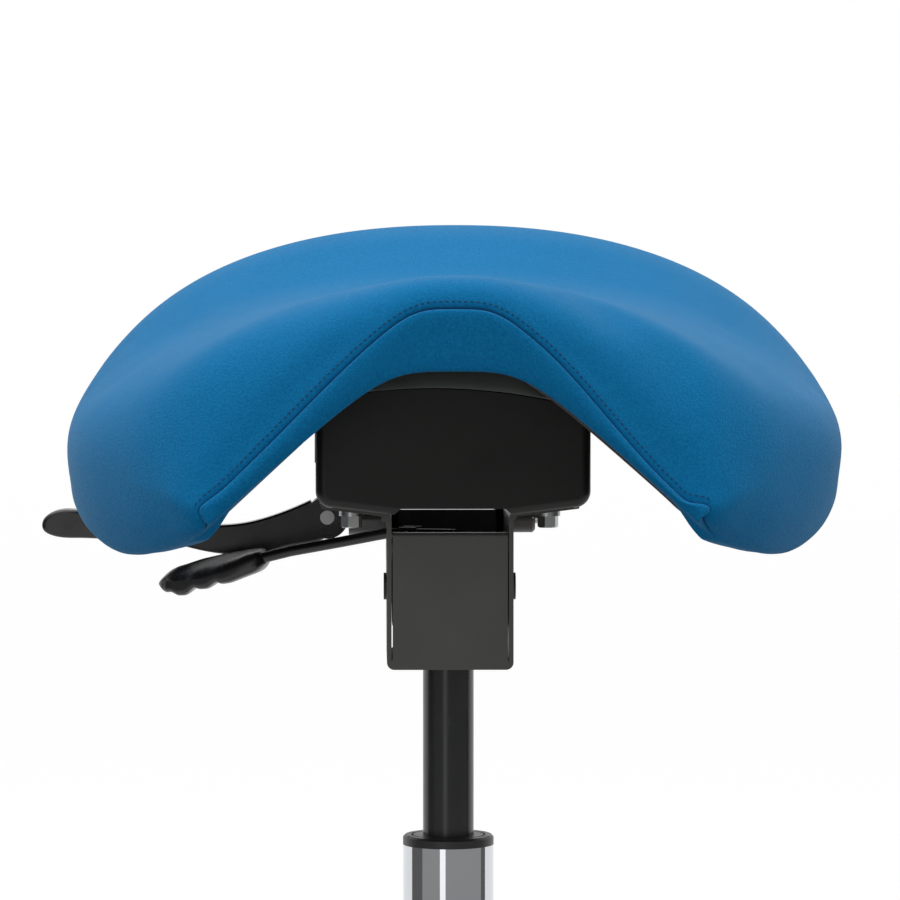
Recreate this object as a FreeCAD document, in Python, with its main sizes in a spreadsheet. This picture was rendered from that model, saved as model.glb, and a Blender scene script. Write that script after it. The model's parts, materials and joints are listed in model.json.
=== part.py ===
"""Saddle stool: a gas-lift stool with a tilting saddle seat on a five-star base.

Millimetres. The origin is on the floor on the column's axis, +Z is up, the
front of the seat (its pommel) points along -Y and the levers are at -X.
"""
import FreeCAD, Part
import Sketcher
import math
import os
import re

V = FreeCAD.Vector
doc = FreeCAD.newDocument("SaddleStool")
sizes = doc.addObject("Spreadsheet::Sheet", "Sizes")

DIMENSIONS = [
    # Column
    ("tube_r", 25.0), ("tube_wall", 2.0), ("tube_low", 72.0), ("tube_top", 336.7),
    ("tube_cone", 60.0), ("tube_cone_r", "=tube_r - 1.5"), ("tube_floor", 3.0),
    ("bush_len", 80.0), ("bush_flange", 5.3), ("slide_gap", 0.06), ("seat_gap", 0.02),
    ("ring_groove_r", 19.4), ("ring_groove_w", 1.0), ("ring_groove_deep", 0.9),
    ("mark_x", 20.6), ("mark_y", 9.1), ("mark_half", 1.6),
    ("cyl_r", 14.0), ("cyl_bore_r", 12.0), ("cyl_low", 184.0), ("cyl_top", 498.0),
    ("cyl_cone", 50.0), ("cyl_cone_r", 12.75), ("cyl_plug", 18.0), ("guide_len", 30.0),
    ("rod_r", 5.0), ("rod_neck_r", 4.0), ("race_r", 12.0), ("race_thick", 2.0),
    ("ball_r", 2.0), ("ball_circle_r", 8.2), ("ball_count", 10),
    ("piston_low", 325.0), ("piston_len", 12.0), ("rod_end_low", 67.0),
    ("clip_thick", 1.2), ("clip_r", 8.5), ("clip_neck_r", 3.2),
    ("bumper_r", 16.0), ("bumper_len", 14.0),
    ("valve_r", 4.0), ("valve_low", 474.0), ("valve_top", 504.2),
    # Star base
    ("star_r", 245.0), ("hub_r", "=tube_r + 9"), ("hub_low", 68.0), ("hub_top", 128.0),
    ("hub_skirt_r", "=tube_r + 13"), ("arm_root_w", 36.0), ("arm_tip_w", 25.0), ("arm_wall", 4.0),
    ("wheel_r", 25.0), ("boss_r", 15.0), ("boss_low", "=wheel_r + 36"), ("boss_top", "=boss_low + 28"),
    ("arm_root_low", 70.0), ("arm_root_top", 121.0), ("arm_tip_low", "=boss_low + 2"),
    ("arm_tip_top", "=boss_low + 25"), ("sleeve_r", 7.5), ("sleeve_len", 22.0), ("stem_r", 5.5),
    # Castors
    ("wheel_w", 17.0), ("wheel_gap", 5.0), ("trail", 20.0), ("axle_r", 4.0), ("hood_r", "=wheel_r + 4"),
    ("hood_wall", 2.4), ("web_w", 8.0), ("swivel_r", 10.5), ("swivel_top", "=boss_low - 0.6"),
    # Tilt carrier on the lift
    ("socket_r", 19.0), ("socket_low", 452.0), ("carrier_x", 31.0), ("carrier_plate", 3.5),
    ("top_plate", 3.0), ("axle_y", -40.0), ("axle_z", 482.0), ("pivot_r", 5.0), ("bush_wall", 2.0),
    ("pivot_head_r", 7.25), ("pivot_head", 1.6), ("slot_w", 8.8), ("tilt_up", 10.0), ("tilt_down", 6.0),
    ("tilt_spare", 1.5), ("brace_y", 48.0), ("brace_low", 470.0), ("brace_top", 518.5),
    # Seat bracket
    ("cheek_x", 34.0), ("sheet", 2.5), ("bracket_low", 438.4), ("bracket_front", -62.0),
    ("bracket_back", 92.0), ("floor_back", 20.0), ("front_top", 512.0), ("front_gap", 0.6),
    ("front_lip", 9.0), ("bend_r", 4.0),
    ("wing_z", 520.6), ("wing_end_x", 69.0), ("wing_rise", 4.4), ("wing_back", 58.0), ("wing_curl", 3.0),
    ("opening_half", 22.0), ("opening_front", -25.0),
    ("window_low", 494.0), ("window_high", 516.5), ("window_front", -4.0), ("window_back", 24.0),
    # Clamp of the tilt
    ("clamp_y", 78.0), ("clamp_z", 513.0), ("tie_r", 4.0), ("spring_r", 10.0), ("spring_len", 3.5),
    ("nut_r", 9.0), ("nut_end", 50.4), ("nut_bevel", 1.5), ("tie_end", 55.6), ("cam_x", -67.2),
    ("cam_r", 12.0),
    ("cam_half", 9.0), ("fork_half", 4.2), ("eye_r", 7.0), ("eye_half", 3.9), ("cam_pin_r", 4.0),
    ("spacer_r", 10.5), ("arm_half", 6.5), ("arm_soft", 1.2),
    ("rim_w", 1.5), ("rim_out", 0.7),
    # Height lever
    ("lever_turn", 16.0), ("lever_rod_r", 3.0), ("lever_z", 507.5), ("lever_pin_x", -22.0),
    ("lever_pin_r", 2.0), ("lug_half", 7.0), ("lug_plate", 3.0), ("lever_inner", 4.0),
    ("lever_bend_x", -36.0), ("lever_end_x", -120.0), ("lever_end_z", 489.5),
    ("grip_in_x", -108.0), ("grip_out_x", -176.0), ("grip_wide", 30.0), ("grip_thick", 14.0),
    ("grip_roll", 25.0), ("grip_drop", 14.0), ("grip_soft", 3.0), ("groove_r", 3.5),
    ("groove_deep", 1.7),
    # Support housing
    ("house_x", 73.5), ("house_front", -75.0), ("house_back", 62.0), ("house_low", 522.0),
    ("house_top", 600.0), ("house_wall", 3.0), ("house_recess", 28.0), ("house_recess_z", 525.6),
    ("house_brow", 589.6), ("house_brow_deep", 16.0), ("house_brow_r", 300.0),
    ("house_brow_x", -10.0),
    ("house_corner", 9.0), ("house_edge", 5.0), ("house_notch", 38.0), ("house_notch_top", 566.0),
    ("house_aside", 1.4), ("boss_wide", 8.0), ("lug_low", 547.0), ("lug_deep", 1.3),
    # Bolts of the bracket
    ("bolt_x", 53.0), ("bolt_y", 45.0), ("bolt_r", 3.0), ("bolt_flats", 10.0), ("bolt_head", 6.4),
    ("washer_r", 6.75), ("washer_thick", 2.6), ("bolt_len", 62.0), ("insert_r", 5.5), ("insert_len", 12.0),
    # Seat
    ("seat_front", -160.0), ("seat_back", 185.0), ("seat_half", 214.0), ("seat_under", 600.0),
    ("under_flat", 35.0),
    ("shell_thick", 9.0), ("rim_lip", 14.0),
]
for row, (alias, value) in enumerate(DIMENSIONS, 1):
    sizes.set(f"A{row}", alias)
    sizes.setAlias(f"B{row}", alias)
    sizes.set(f"B{row}", str(value))
doc.recompute()
ALIASES = {alias for alias, value in DIMENSIONS}
PARTS = []


def bound(text):
    """The expression with each size's name read from the sheet."""
    return re.sub(r"[A-Za-z_]\w*", lambda m: "Sizes." + m[0] if m[0] in ALIASES else m[0], str(text))


def num(text):
    """The present value of an expression of sizes."""
    return float(sizes.evalExpression(str(text)))


def new_body(label, at=("0", "0", "0"), turn=0.0, axis=(0, 0, 1)):
    """An empty body with its own placement; turn is in degrees about axis."""
    body = doc.addObject("PartDesign::Body", label)
    body.Label = label
    body.Placement = FreeCAD.Placement(V(*[num(text) for text in at]), FreeCAD.Rotation(V(*axis), turn))
    for letter, text in zip("xyz", at):
        body.setExpression("Placement.Base." + letter, bound(text))
    PARTS.append(body)
    return body


def sketch(body, role, offset, loops):
    """A sketch on the body's own plane, offset along +X, +Y or +Z.

    A loop is ("circle", x, y, radius) or a list of points (x, y) or (x, y, radius), where
    radius rounds the stretch to the next point, bulging to the right of the way there, or
    to the left where it starts with a minus.
    """
    item = body.newObject("Sketcher::SketchObject", body.Name + "_sketch")
    item.AttachmentSupport = [(next(f for f in body.Origin.OriginFeatures if f.Role == role), "")]
    item.MapMode = "FlatFace"
    sign = "-" if role == "XZ_Plane" else ""
    item.setExpression("AttachmentOffset.Base.z", bound(f"{sign}({offset})"))
    for loop in loops:
        if loop[0] == "circle":
            x, y, radius = loop[1:]
            geo = item.addGeometry(Part.Circle(V(num(x), num(y), 0), V(0, 0, 1), num(radius)))
            fix(item, geo, 3, x, y)
            tie = item.addConstraint(Sketcher.Constraint("Radius", geo, num(radius)))
            item.setExpression(f"Constraints[{tie}]", bound(radius))
            continue
        ends = [V(num(p[0]), num(p[1]), 0) for p in loop]
        first = None
        for i, point in enumerate(loop):
            a, b = ends[i], ends[(i + 1) % len(loop)]
            if len(point) == 3:
                geo = item.addGeometry(arc_between(a, b, num(point[2])))
            else:
                geo = item.addGeometry(Part.LineSegment(a, b))
            first = geo if first is None else first
        count = len(loop)
        for i, point in enumerate(loop):
            item.addConstraint(Sketcher.Constraint("Coincident", first + i, 2, first + (i + 1) % count, 1))
            fix(item, first + i, 1, point[0], point[1])
            if len(point) == 3:
                radius = point[2].lstrip("-")
                tie = item.addConstraint(Sketcher.Constraint("Radius", first + i, num(radius)))
                item.setExpression(f"Constraints[{tie}]", bound(radius))
    return item


def fix(item, geo, spot, x, y):
    """Hold one point of the sketch at two expressions from its origin."""
    for kind, text in (("DistanceX", x), ("DistanceY", y)):
        tie = item.addConstraint(Sketcher.Constraint(kind, -1, 1, geo, spot, num(text)))
        item.setExpression(f"Constraints[{tie}]", bound(text))


def arc_between(a, b, radius):
    """The minor arc from a to b, bulging to the right, or to the left for a negative radius."""
    middle, way = (a + b) * 0.5, b - a
    left = V(-way.y, way.x, 0).normalize() * math.copysign(1, radius)
    radius = abs(radius)
    centre = middle + left * math.sqrt(max(radius ** 2 - (way.Length / 2) ** 2, 0))
    top = centre - left * radius
    return Part.Arc(a, top, b)


def pad(body, role, low, high, loops):
    """Material from low to high along the plane's own direction."""
    item = body.newObject("PartDesign::Pad", body.Name + "_pad")
    item.Profile = sketch(body, role, low, loops)
    item.setExpression("Length", bound(f"({high}) - ({low})"))
    item.Reversed = role == "XZ_Plane"
    return item


def pocket(body, role, low, high, loops):
    """A cut from low to high along the plane's own direction."""
    item = body.newObject("PartDesign::Pocket", body.Name + "_pocket")
    item.Profile = sketch(body, role, low if role == "XZ_Plane" else high, loops)
    item.setExpression("Length", bound(f"({high}) - ({low})"))
    return item


def turned(body, points, role="XZ_Plane", axis="V_Axis", kind="Revolution"):
    """A profile of radius and height turned about the body's own axis."""
    item = body.newObject("PartDesign::" + kind, body.Name + "_turn")
    profile = sketch(body, role, "0", [points])
    item.Profile = profile
    item.ReferenceAxis = (profile, [axis])
    item.Angle = 360
    return item


def mirrored(points):
    """The points of a right half and then its mirror image, as one closed outline."""
    left = []
    for before, point in reversed(list(zip(points, points[1:]))):
        left.append((f"-({point[0]})", point[1]) + tuple(before[2:]))
    return points + left


def shaped(label, shape):
    """A sub-part whose shape comes straight from geometry."""
    item = doc.addObject("Part::Feature", label)
    item.Label = label
    item.Shape = shape
    PARTS.append(item)
    return item


def ring(label, inner, outer, low, high, **place):
    """A plain tube about the body's own Z axis."""
    body = new_body(label, **place)
    turned(body, [(inner, low), (outer, low), (outer, high), (inner, high)])
    return body


def cross_ring(label, inner, outer, low, high, y, z):
    """A tube about an axis along X at y, z."""
    body = new_body(label)
    loops = [("circle", y, z, outer)] + ([("circle", y, z, inner)] if inner else [])
    pad(body, "YZ_Plane", low, high, loops)
    return body


def column():
    """Stand tube, guide bush, gas cylinder and what they hold."""
    inner = "tube_r - tube_wall"
    body = new_body("stand_tube")
    turned(body, [("rod_neck_r + 0.4", "tube_low"), ("tube_cone_r", "tube_low"),
                  ("tube_r", "tube_low + tube_cone"), ("tube_r", "tube_top"), (inner, "tube_top"),
                  (inner, "tube_low + tube_cone"), ("tube_cone_r - tube_wall", "tube_low + tube_floor"),
                  ("rod_neck_r + 0.4", "tube_low + tube_floor")])
    body = new_body("guide_bush")
    bore = "cyl_r + slide_gap"
    turned(body, [(bore + " + 1", "tube_top - bush_len"), (inner + " - seat_gap - 1", "tube_top - bush_len"),
                  (inner + " - seat_gap", "tube_top - bush_len + 6"), (inner + " - seat_gap", "tube_top"),
                  ("tube_r", "tube_top"), ("tube_r", "tube_top + bush_flange - 1.2"),
                  ("tube_r - 1.2", "tube_top + bush_flange"),
                  ("ring_groove_r + ring_groove_w", "tube_top + bush_flange"),
                  ("ring_groove_r + ring_groove_w", "tube_top + bush_flange - ring_groove_deep"),
                  ("ring_groove_r", "tube_top + bush_flange - ring_groove_deep"),
                  ("ring_groove_r", "tube_top + bush_flange"), (bore, "tube_top + bush_flange"),
                  (bore, "tube_top - bush_len + 4")])
    crown = "tube_top + bush_flange"
    for x in ("mark_x", "-mark_x"):
        for y in ("mark_y", "-mark_y"):
            pocket(body, "XY_Plane", crown + " - ring_groove_deep", crown + " + 1",
                   [[(f"{x} - mark_half", f"{y} - 0.6"), (f"{x} + mark_half", f"{y} - 0.6"),
                     (f"{x} + mark_half", f"{y} + 0.6"), (f"{x} - mark_half", f"{y} + 0.6")]])
    floor = "tube_low + tube_floor"
    ring("lower_race", "rod_neck_r + 0.3", "race_r", floor, floor + " + race_thick")
    balls = floor + " + race_thick"
    upper = balls + " + 2 * ball_r"
    spheres = []
    for i in range(int(num("ball_count"))):
        angle = math.radians(360.0 * i / num("ball_count"))
        spot = V(num("ball_circle_r") * math.cos(angle), num("ball_circle_r") * math.sin(angle),
                 num(balls + " + ball_r"))
        spheres.append(Part.makeSphere(num("ball_r"), spot))
    shaped("bearing_balls", Part.makeCompound(spheres))
    ring("upper_race", "rod_neck_r", "race_r", upper, upper + " + race_thick")
    shoulder = upper + " + race_thick"
    body = new_body("rubber_bumper")
    fit = "tube_cone_r - tube_wall + (tube_r - tube_cone_r) * (race_thick * 2 + ball_r * 2 + 1)/tube_cone"
    foot = shoulder + " + 1"
    turned(body, [("rod_r + 1", foot), ("bumper_r", foot), (fit, foot + " + 1"),
                  (fit, foot + " + 5"), ("bumper_r", foot + " + 8"), ("bumper_r - 3", foot + " + bumper_len"),
                  ("rod_r + 1", foot + " + bumper_len")])
    body = new_body("piston_rod")
    neck = "rod_end_low + 1.6"
    turned(body, [("0", "rod_end_low"), ("rod_neck_r", "rod_end_low"), ("rod_neck_r", neck),
                  ("clip_neck_r", neck), ("clip_neck_r", neck + " + clip_thick"),
                  ("rod_neck_r", neck + " + clip_thick"), ("rod_neck_r", shoulder), ("rod_r", shoulder),
                  ("rod_r", "piston_low"), ("rod_neck_r", "piston_low"),
                  ("rod_neck_r", "piston_low + piston_len + 2"), ("0", "piston_low + piston_len + 2")])
    body = new_body("piston_head")
    wide = "cyl_bore_r - slide_gap"
    turned(body, [("rod_neck_r", "piston_low"), (wide, "piston_low"), (wide, "piston_low + 4"),
                  (wide + " - 1.6", "piston_low + 4"), (wide + " - 1.6", "piston_low + 8"),
                  (wide, "piston_low + 8"), (wide, "piston_low + piston_len"),
                  ("rod_neck_r", "piston_low + piston_len")])
    body = new_body("retaining_clip")
    pad(body, "XY_Plane", neck, neck + " + clip_thick",
        [("circle", "0", "0", "clip_r"), ("circle", "0", "0", "clip_neck_r")])
    pocket(body, "XY_Plane", neck, neck + " + clip_thick",
           [[("-clip_neck_r * 0.8", "0"), ("clip_neck_r * 0.8", "0"),
             ("clip_neck_r * 0.8", "clip_r + 1"), ("-clip_neck_r * 0.8", "clip_r + 1")]])
    body = new_body("gas_cylinder")
    turned(body, [("cyl_bore_r", "cyl_low"), ("cyl_r - 0.6", "cyl_low"), ("cyl_r", "cyl_low + 1"),
                  ("cyl_r", "cyl_top - cyl_cone"), ("cyl_cone_r", "cyl_top"),
                  ("valve_r + slide_gap", "cyl_top"), ("valve_r + slide_gap", "cyl_top - cyl_plug"),
                  ("cyl_bore_r", "cyl_top - cyl_plug")])
    ring("cylinder_guide", "rod_r + slide_gap", "cyl_bore_r", "cyl_low", "cyl_low + guide_len")
    body = new_body("valve_pin")
    turned(body, [("0", "valve_low"), ("valve_r - 1", "valve_low"), ("valve_r", "valve_low + 2"),
                  ("valve_r", "valve_top - 1"), ("valve_r - 1", "valve_top"), ("0", "valve_top")])


def star():
    """Die-cast base: five hollow tapered arms, a hub with a cone bore and five castor bosses."""
    body = new_body("star_base")
    outer = (("hub_r - 12", "arm_root_w", "arm_root_low", "arm_root_top"),
             ("star_r", "arm_tip_w", "arm_tip_low", "arm_tip_top"))
    hollow = (("hub_r + 8", "arm_root_w - 2 * arm_wall", "arm_root_low - 12", "arm_root_top - arm_wall"),
              ("star_r - boss_r - 1", "arm_tip_w - 2 * arm_wall", "arm_tip_low - 12",
               "arm_tip_top - arm_wall + 1.5"))
    for kind, ends, ease in (("AdditiveLoft", outer, 4), ("SubtractiveLoft", hollow, 2)):
        stations = []
        for at, wide, low, high in ends:
            half = f"({wide}) / 2"
            outline = [(half, low), (half, f"{high} - {ease} - 4"), (f"{half} - {ease}", high)]
            stations.append(sketch(body, "YZ_Plane", at, [mirrored([("0", low)] + outline)]))
        item = body.newObject("PartDesign::" + kind, kind)
        item.Profile = stations[0]
        item.Sections = [stations[1]]
        item.Ruled = True
        doc.recompute()
    boss = pad(body, "XY_Plane", "boss_low", "boss_top", [("circle", "star_r", "0", "boss_r")])
    bore = pocket(body, "XY_Plane", "boss_low", "boss_low + sleeve_len",
                  [("circle", "star_r", "0", "sleeve_r")])
    doc.recompute()
    arms = [f for f in body.Group if f.TypeId.endswith("Loft")] + [boss, bore]
    pattern = body.newObject("PartDesign::PolarPattern", "arms")
    pattern.Originals = arms
    pattern.Axis = (next(f for f in body.Origin.OriginFeatures if f.Role == "Z_Axis"), [""])
    pattern.Angle = 360
    pattern.Occurrences = 5
    body.Tip = pattern
    doc.recompute()
    turned(body, [("tube_cone_r - 6", "hub_low"), ("hub_skirt_r", "hub_low"), ("hub_skirt_r", "hub_low + 14"),
                  ("hub_r", "hub_top - 4"), ("hub_r - 3", "hub_top"), ("tube_cone_r - 6", "hub_top")])
    cone_at = "tube_cone_r + (tube_r - tube_cone_r) * ({} - tube_low) / tube_cone"
    turned(body, [("0", "hub_low - 1"), ("tube_cone_r - 1", "hub_low - 1"), ("tube_cone_r - 1", "tube_low"),
                  ("tube_cone_r", "tube_low"), (cone_at.format("(hub_top + 1)"), "hub_top + 1"),
                  ("0", "hub_top + 1")], kind="Groove")
    body.Placement = FreeCAD.Placement(V(0, 0, 0), FreeCAD.Rotation(V(0, 0, 1), 90.0))
    doc.recompute()
    pipes = []
    for turn in castor_turns():
        spot = V(num("star_r"), 0, num("boss_low"))
        pipe = Part.makeCylinder(num("sleeve_r"), num("sleeve_len"), spot)
        pipe = pipe.cut(Part.makeCylinder(num("stem_r + slide_gap"), num("sleeve_len"), spot))
        pipe.rotate(V(0, 0, 0), V(0, 0, 1), turn)
        pipes.append(pipe)
    shaped("castor_sleeves", Part.makeCompound(pipes))


def castor_turns():
    """Where the five castors stand round the column, in degrees from +X."""
    return [90.0 + 72.0 * i for i in range(5)]


def castor(i, turn):
    """A twin-wheel castor: hooded housing, swivel stem, axle and two wheels."""
    place = {"at": (f"star_r * cos({turn})", f"star_r * sin({turn})", "0"), "turn": turn + 90.0}
    name = f"castor_{i}_"
    body = new_body(name + "housing", **place)
    pad(body, "XZ_Plane", "-web_w / 2", "web_w / 2", [("circle", "-trail", "wheel_r", "hood_r")])
    pad(body, "XZ_Plane", "-(wheel_gap + wheel_w)", "wheel_gap + wheel_w",
        [("circle", "-trail", "wheel_r", "hood_r"), ("circle", "-trail", "wheel_r", "hood_r - hood_wall")])
    far = "hood_r + 5"
    pocket(body, "XZ_Plane", "-(wheel_gap + wheel_w + 1)", "wheel_gap + wheel_w + 1",
           [[(f"-trail - {far}", "-6"), (f"-trail + {far}", "-6"), (f"-trail + {far}", "wheel_r - 4"),
             (f"-trail - {far}", "wheel_r + 8")]])
    pad(body, "XZ_Plane", "-web_w / 2", "web_w / 2", [("circle", "-trail", "wheel_r", "axle_r + 5")])
    pad(body, "XY_Plane", "wheel_r + 13", "swivel_top", [("circle", "0", "0", "swivel_r")])
    gap = "wheel_gap + wheel_w + 1"
    for low, high in ((f"-({gap})", "-web_w / 2"), ("web_w / 2", gap)):
        pocket(body, "XZ_Plane", low, high, [("circle", "-trail", "wheel_r", "hood_r - hood_wall")])
    pocket(body, "XZ_Plane", "-web_w", "web_w", [("circle", "-trail", "wheel_r", "axle_r")])
    pocket(body, "XY_Plane", "wheel_r + 16", "swivel_top + 1", [("circle", "0", "0", "stem_r - 0.5")])
    body = new_body(name + "stem", **place)
    turned(body, [("0", "wheel_r + 16"), ("stem_r - 0.5", "wheel_r + 16"), ("stem_r - 0.5", "swivel_top"),
                  ("stem_r", "swivel_top"), ("stem_r", "boss_low + sleeve_len - 4"),
                  ("stem_r - 1.5", "boss_low + sleeve_len - 1"), ("0", "boss_low + sleeve_len - 1")])
    body = new_body(name + "axle", **place)
    pad(body, "XZ_Plane", "-(wheel_gap + wheel_w - 4)", "wheel_gap + wheel_w - 4",
        [("circle", "-trail", "wheel_r", "axle_r")])
    for side, sign in (("left", 1), ("right", -1)):
        spot = (f"star_r * cos({turn}) - trail * cos({turn + 90})",
                f"star_r * sin({turn}) - trail * sin({turn + 90})", "wheel_r")
        body = new_body(name + "wheel_" + side, at=spot)
        flip = FreeCAD.Rotation(V(0, 0, 1), turn + 90.0) * FreeCAD.Rotation(V(1, 0, 0), -90.0 * sign)
        body.Placement = FreeCAD.Placement(body.Placement.Base, flip)
        bore = "axle_r + slide_gap"
        near, far = "wheel_gap", "wheel_gap + wheel_w"
        turned(body, [(bore, near), ("wheel_r - 3", near), ("wheel_r", near + " + 3"),
                      ("wheel_r", far + " - 4"), ("wheel_r - 4", far), ("wheel_r - 7", far),
                      ("wheel_r - 9", far + " - 3"), ("9", far + " - 2"), ("7", far), ("0", far),
                      ("0", far + " - 3.5"), (bore, far + " - 3.5")])


def carrier():
    """Steel carrier on the gas cylinder, its taper socket, tilt axle and bushes."""
    body = new_body("taper_socket")
    wide = "cyl_r - (cyl_r - cyl_cone_r) * (socket_low - cyl_top + cyl_cone) / cyl_cone"
    turned(body, [(wide, "socket_low"), ("socket_r - 1", "socket_low"), ("socket_r", "socket_low + 1"),
                  ("socket_r", "cyl_top"), ("cyl_cone_r", "cyl_top")])
    body = new_body("tilt_carrier")
    reach = math.hypot(num("clamp_y - axle_y"), num("clamp_z - axle_z"))
    rest = math.degrees(math.atan2(num("clamp_z - axle_z"), num("clamp_y - axle_y")))
    low, high = rest - num("tilt_down + tilt_spare"), rest + num("tilt_up + tilt_spare")

    def polar(radius, angle):
        """A point of the plate given from the tilt axle, as numbers."""
        return (str(round(num("axle_y") + radius * math.cos(math.radians(angle)), 4)),
                str(round(num("axle_z") + radius * math.sin(math.radians(angle)), 4)))

    outline = [("axle_y - 13", "axle_z"), ("axle_y - 9", "axle_z - 11"), ("axle_y + 8", "axle_z - 22"),
               ("socket_r + 5", "axle_z - 24"), polar(reach + 13, low - 5), polar(reach + 14, high - 2),
               polar(reach + 6, high + 7), polar(reach - 12, high + 8), polar(reach - 26, rest + 8),
               ("socket_r + 8", "cyl_top + top_plate"), ("axle_y - 4", "cyl_top + top_plate"),
               ("axle_y - 13", "axle_z + 8")]
    half = num("slot_w") / 2
    for inner, outer in (("carrier_x - carrier_plate", "carrier_x"),
                         ("-carrier_x", "carrier_plate - carrier_x")):
        pad(body, "YZ_Plane", inner, outer, [outline])
    pad(body, "XY_Plane", "cyl_top", "cyl_top + top_plate",
        [[("-carrier_x", "axle_y - 2"), ("carrier_x", "axle_y - 2"), ("carrier_x", "socket_r + 8"),
          ("-carrier_x", "socket_r + 8")], ("circle", "0", "0", "cyl_cone_r - 2")])
    pad(body, "XZ_Plane", "brace_y", "brace_y + carrier_plate",
        [[("-carrier_x", "brace_low"), ("carrier_x", "brace_low"), ("carrier_x", "brace_top"),
          ("-carrier_x", "brace_top")]])
    pocket(body, "YZ_Plane", "-carrier_x - 1", "carrier_x + 1",
           [("circle", "axle_y", "axle_z", "pivot_r + bush_wall")])
    doc.recompute()
    mid = (low + high) / 2
    a, b, c, d = [V(0, float(p[0]), float(p[1])) for p in
                  (polar(reach - half, low), polar(reach + half, low), polar(reach + half, high),
                   polar(reach - half, high))]
    e1, e2 = (V(0, float(p[0]), float(p[1])) for p in (polar(reach, low - math.degrees(half / reach)),
                                                     polar(reach, high + math.degrees(half / reach))))
    m1, m2 = (V(0, float(p[0]), float(p[1])) for p in (polar(reach + half, mid), polar(reach - half, mid)))
    wire = Part.Wire([Part.Arc(a, e1, b).toShape(), Part.Arc(b, m1, c).toShape(),
                      Part.Arc(c, e2, d).toShape(), Part.Arc(d, m2, a).toShape()])
    cutter = Part.Face(wire).extrude(V(num("2 * carrier_x + 2"), 0, 0))
    cutter.translate(V(-num("carrier_x + 1"), 0, 0))
    slotted = body.Shape.cut(cutter).fuse(lever_lugs()).removeSplitter()
    PARTS.remove(body)
    body.Label = "carrier_blank"
    shaped("tilt_carrier", slotted)
    body = new_body("pivot_axle")
    pad(body, "YZ_Plane", "-cheek_x - 0.1", "cheek_x + 0.1", [("circle", "axle_y", "axle_z", "pivot_r")])
    for inner, outer in (("cheek_x + 0.1", "cheek_x + 0.1 + pivot_head"),
                         ("-cheek_x - 0.1 - pivot_head", "-cheek_x - 0.1")):
        pad(body, "YZ_Plane", inner, outer, [("circle", "axle_y", "axle_z", "pivot_head_r")])
    tubes = []
    for x in (num("carrier_x - carrier_plate"), -num("carrier_x")):
        spot = V(x, num("axle_y"), num("axle_z"))
        tube = Part.makeCylinder(num("pivot_r + bush_wall"), num("carrier_plate"), spot, V(1, 0, 0))
        tubes.append(tube.cut(Part.makeCylinder(num("pivot_r"), num("carrier_plate"), spot, V(1, 0, 0))))
    shaped("carrier_bushes", Part.makeCompound(tubes))


def lever_lugs():
    """Two lugs on the carrier's top plate that hold the height lever's pin."""
    lugs = []
    foot, top, middle = num("cyl_top + top_plate - 1"), num("lever_z + 4"), num("lever_pin_x")
    for y in (num("lug_half - lug_plate"), -num("lug_half")):
        lug = Part.makeBox(10, num("lug_plate"), top - foot, V(middle - 5, y, foot))
        bore = Part.makeCylinder(num("lever_pin_r"), 8, V(middle, y - 2, num("lever_z")), V(0, 1, 0))
        lugs.append(lug.cut(bore))
    pair = Part.makeCompound(lugs)
    pair.rotate(V(0, 0, 0), V(0, 0, 1), -num("lever_turn"))
    return pair.Solids


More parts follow.
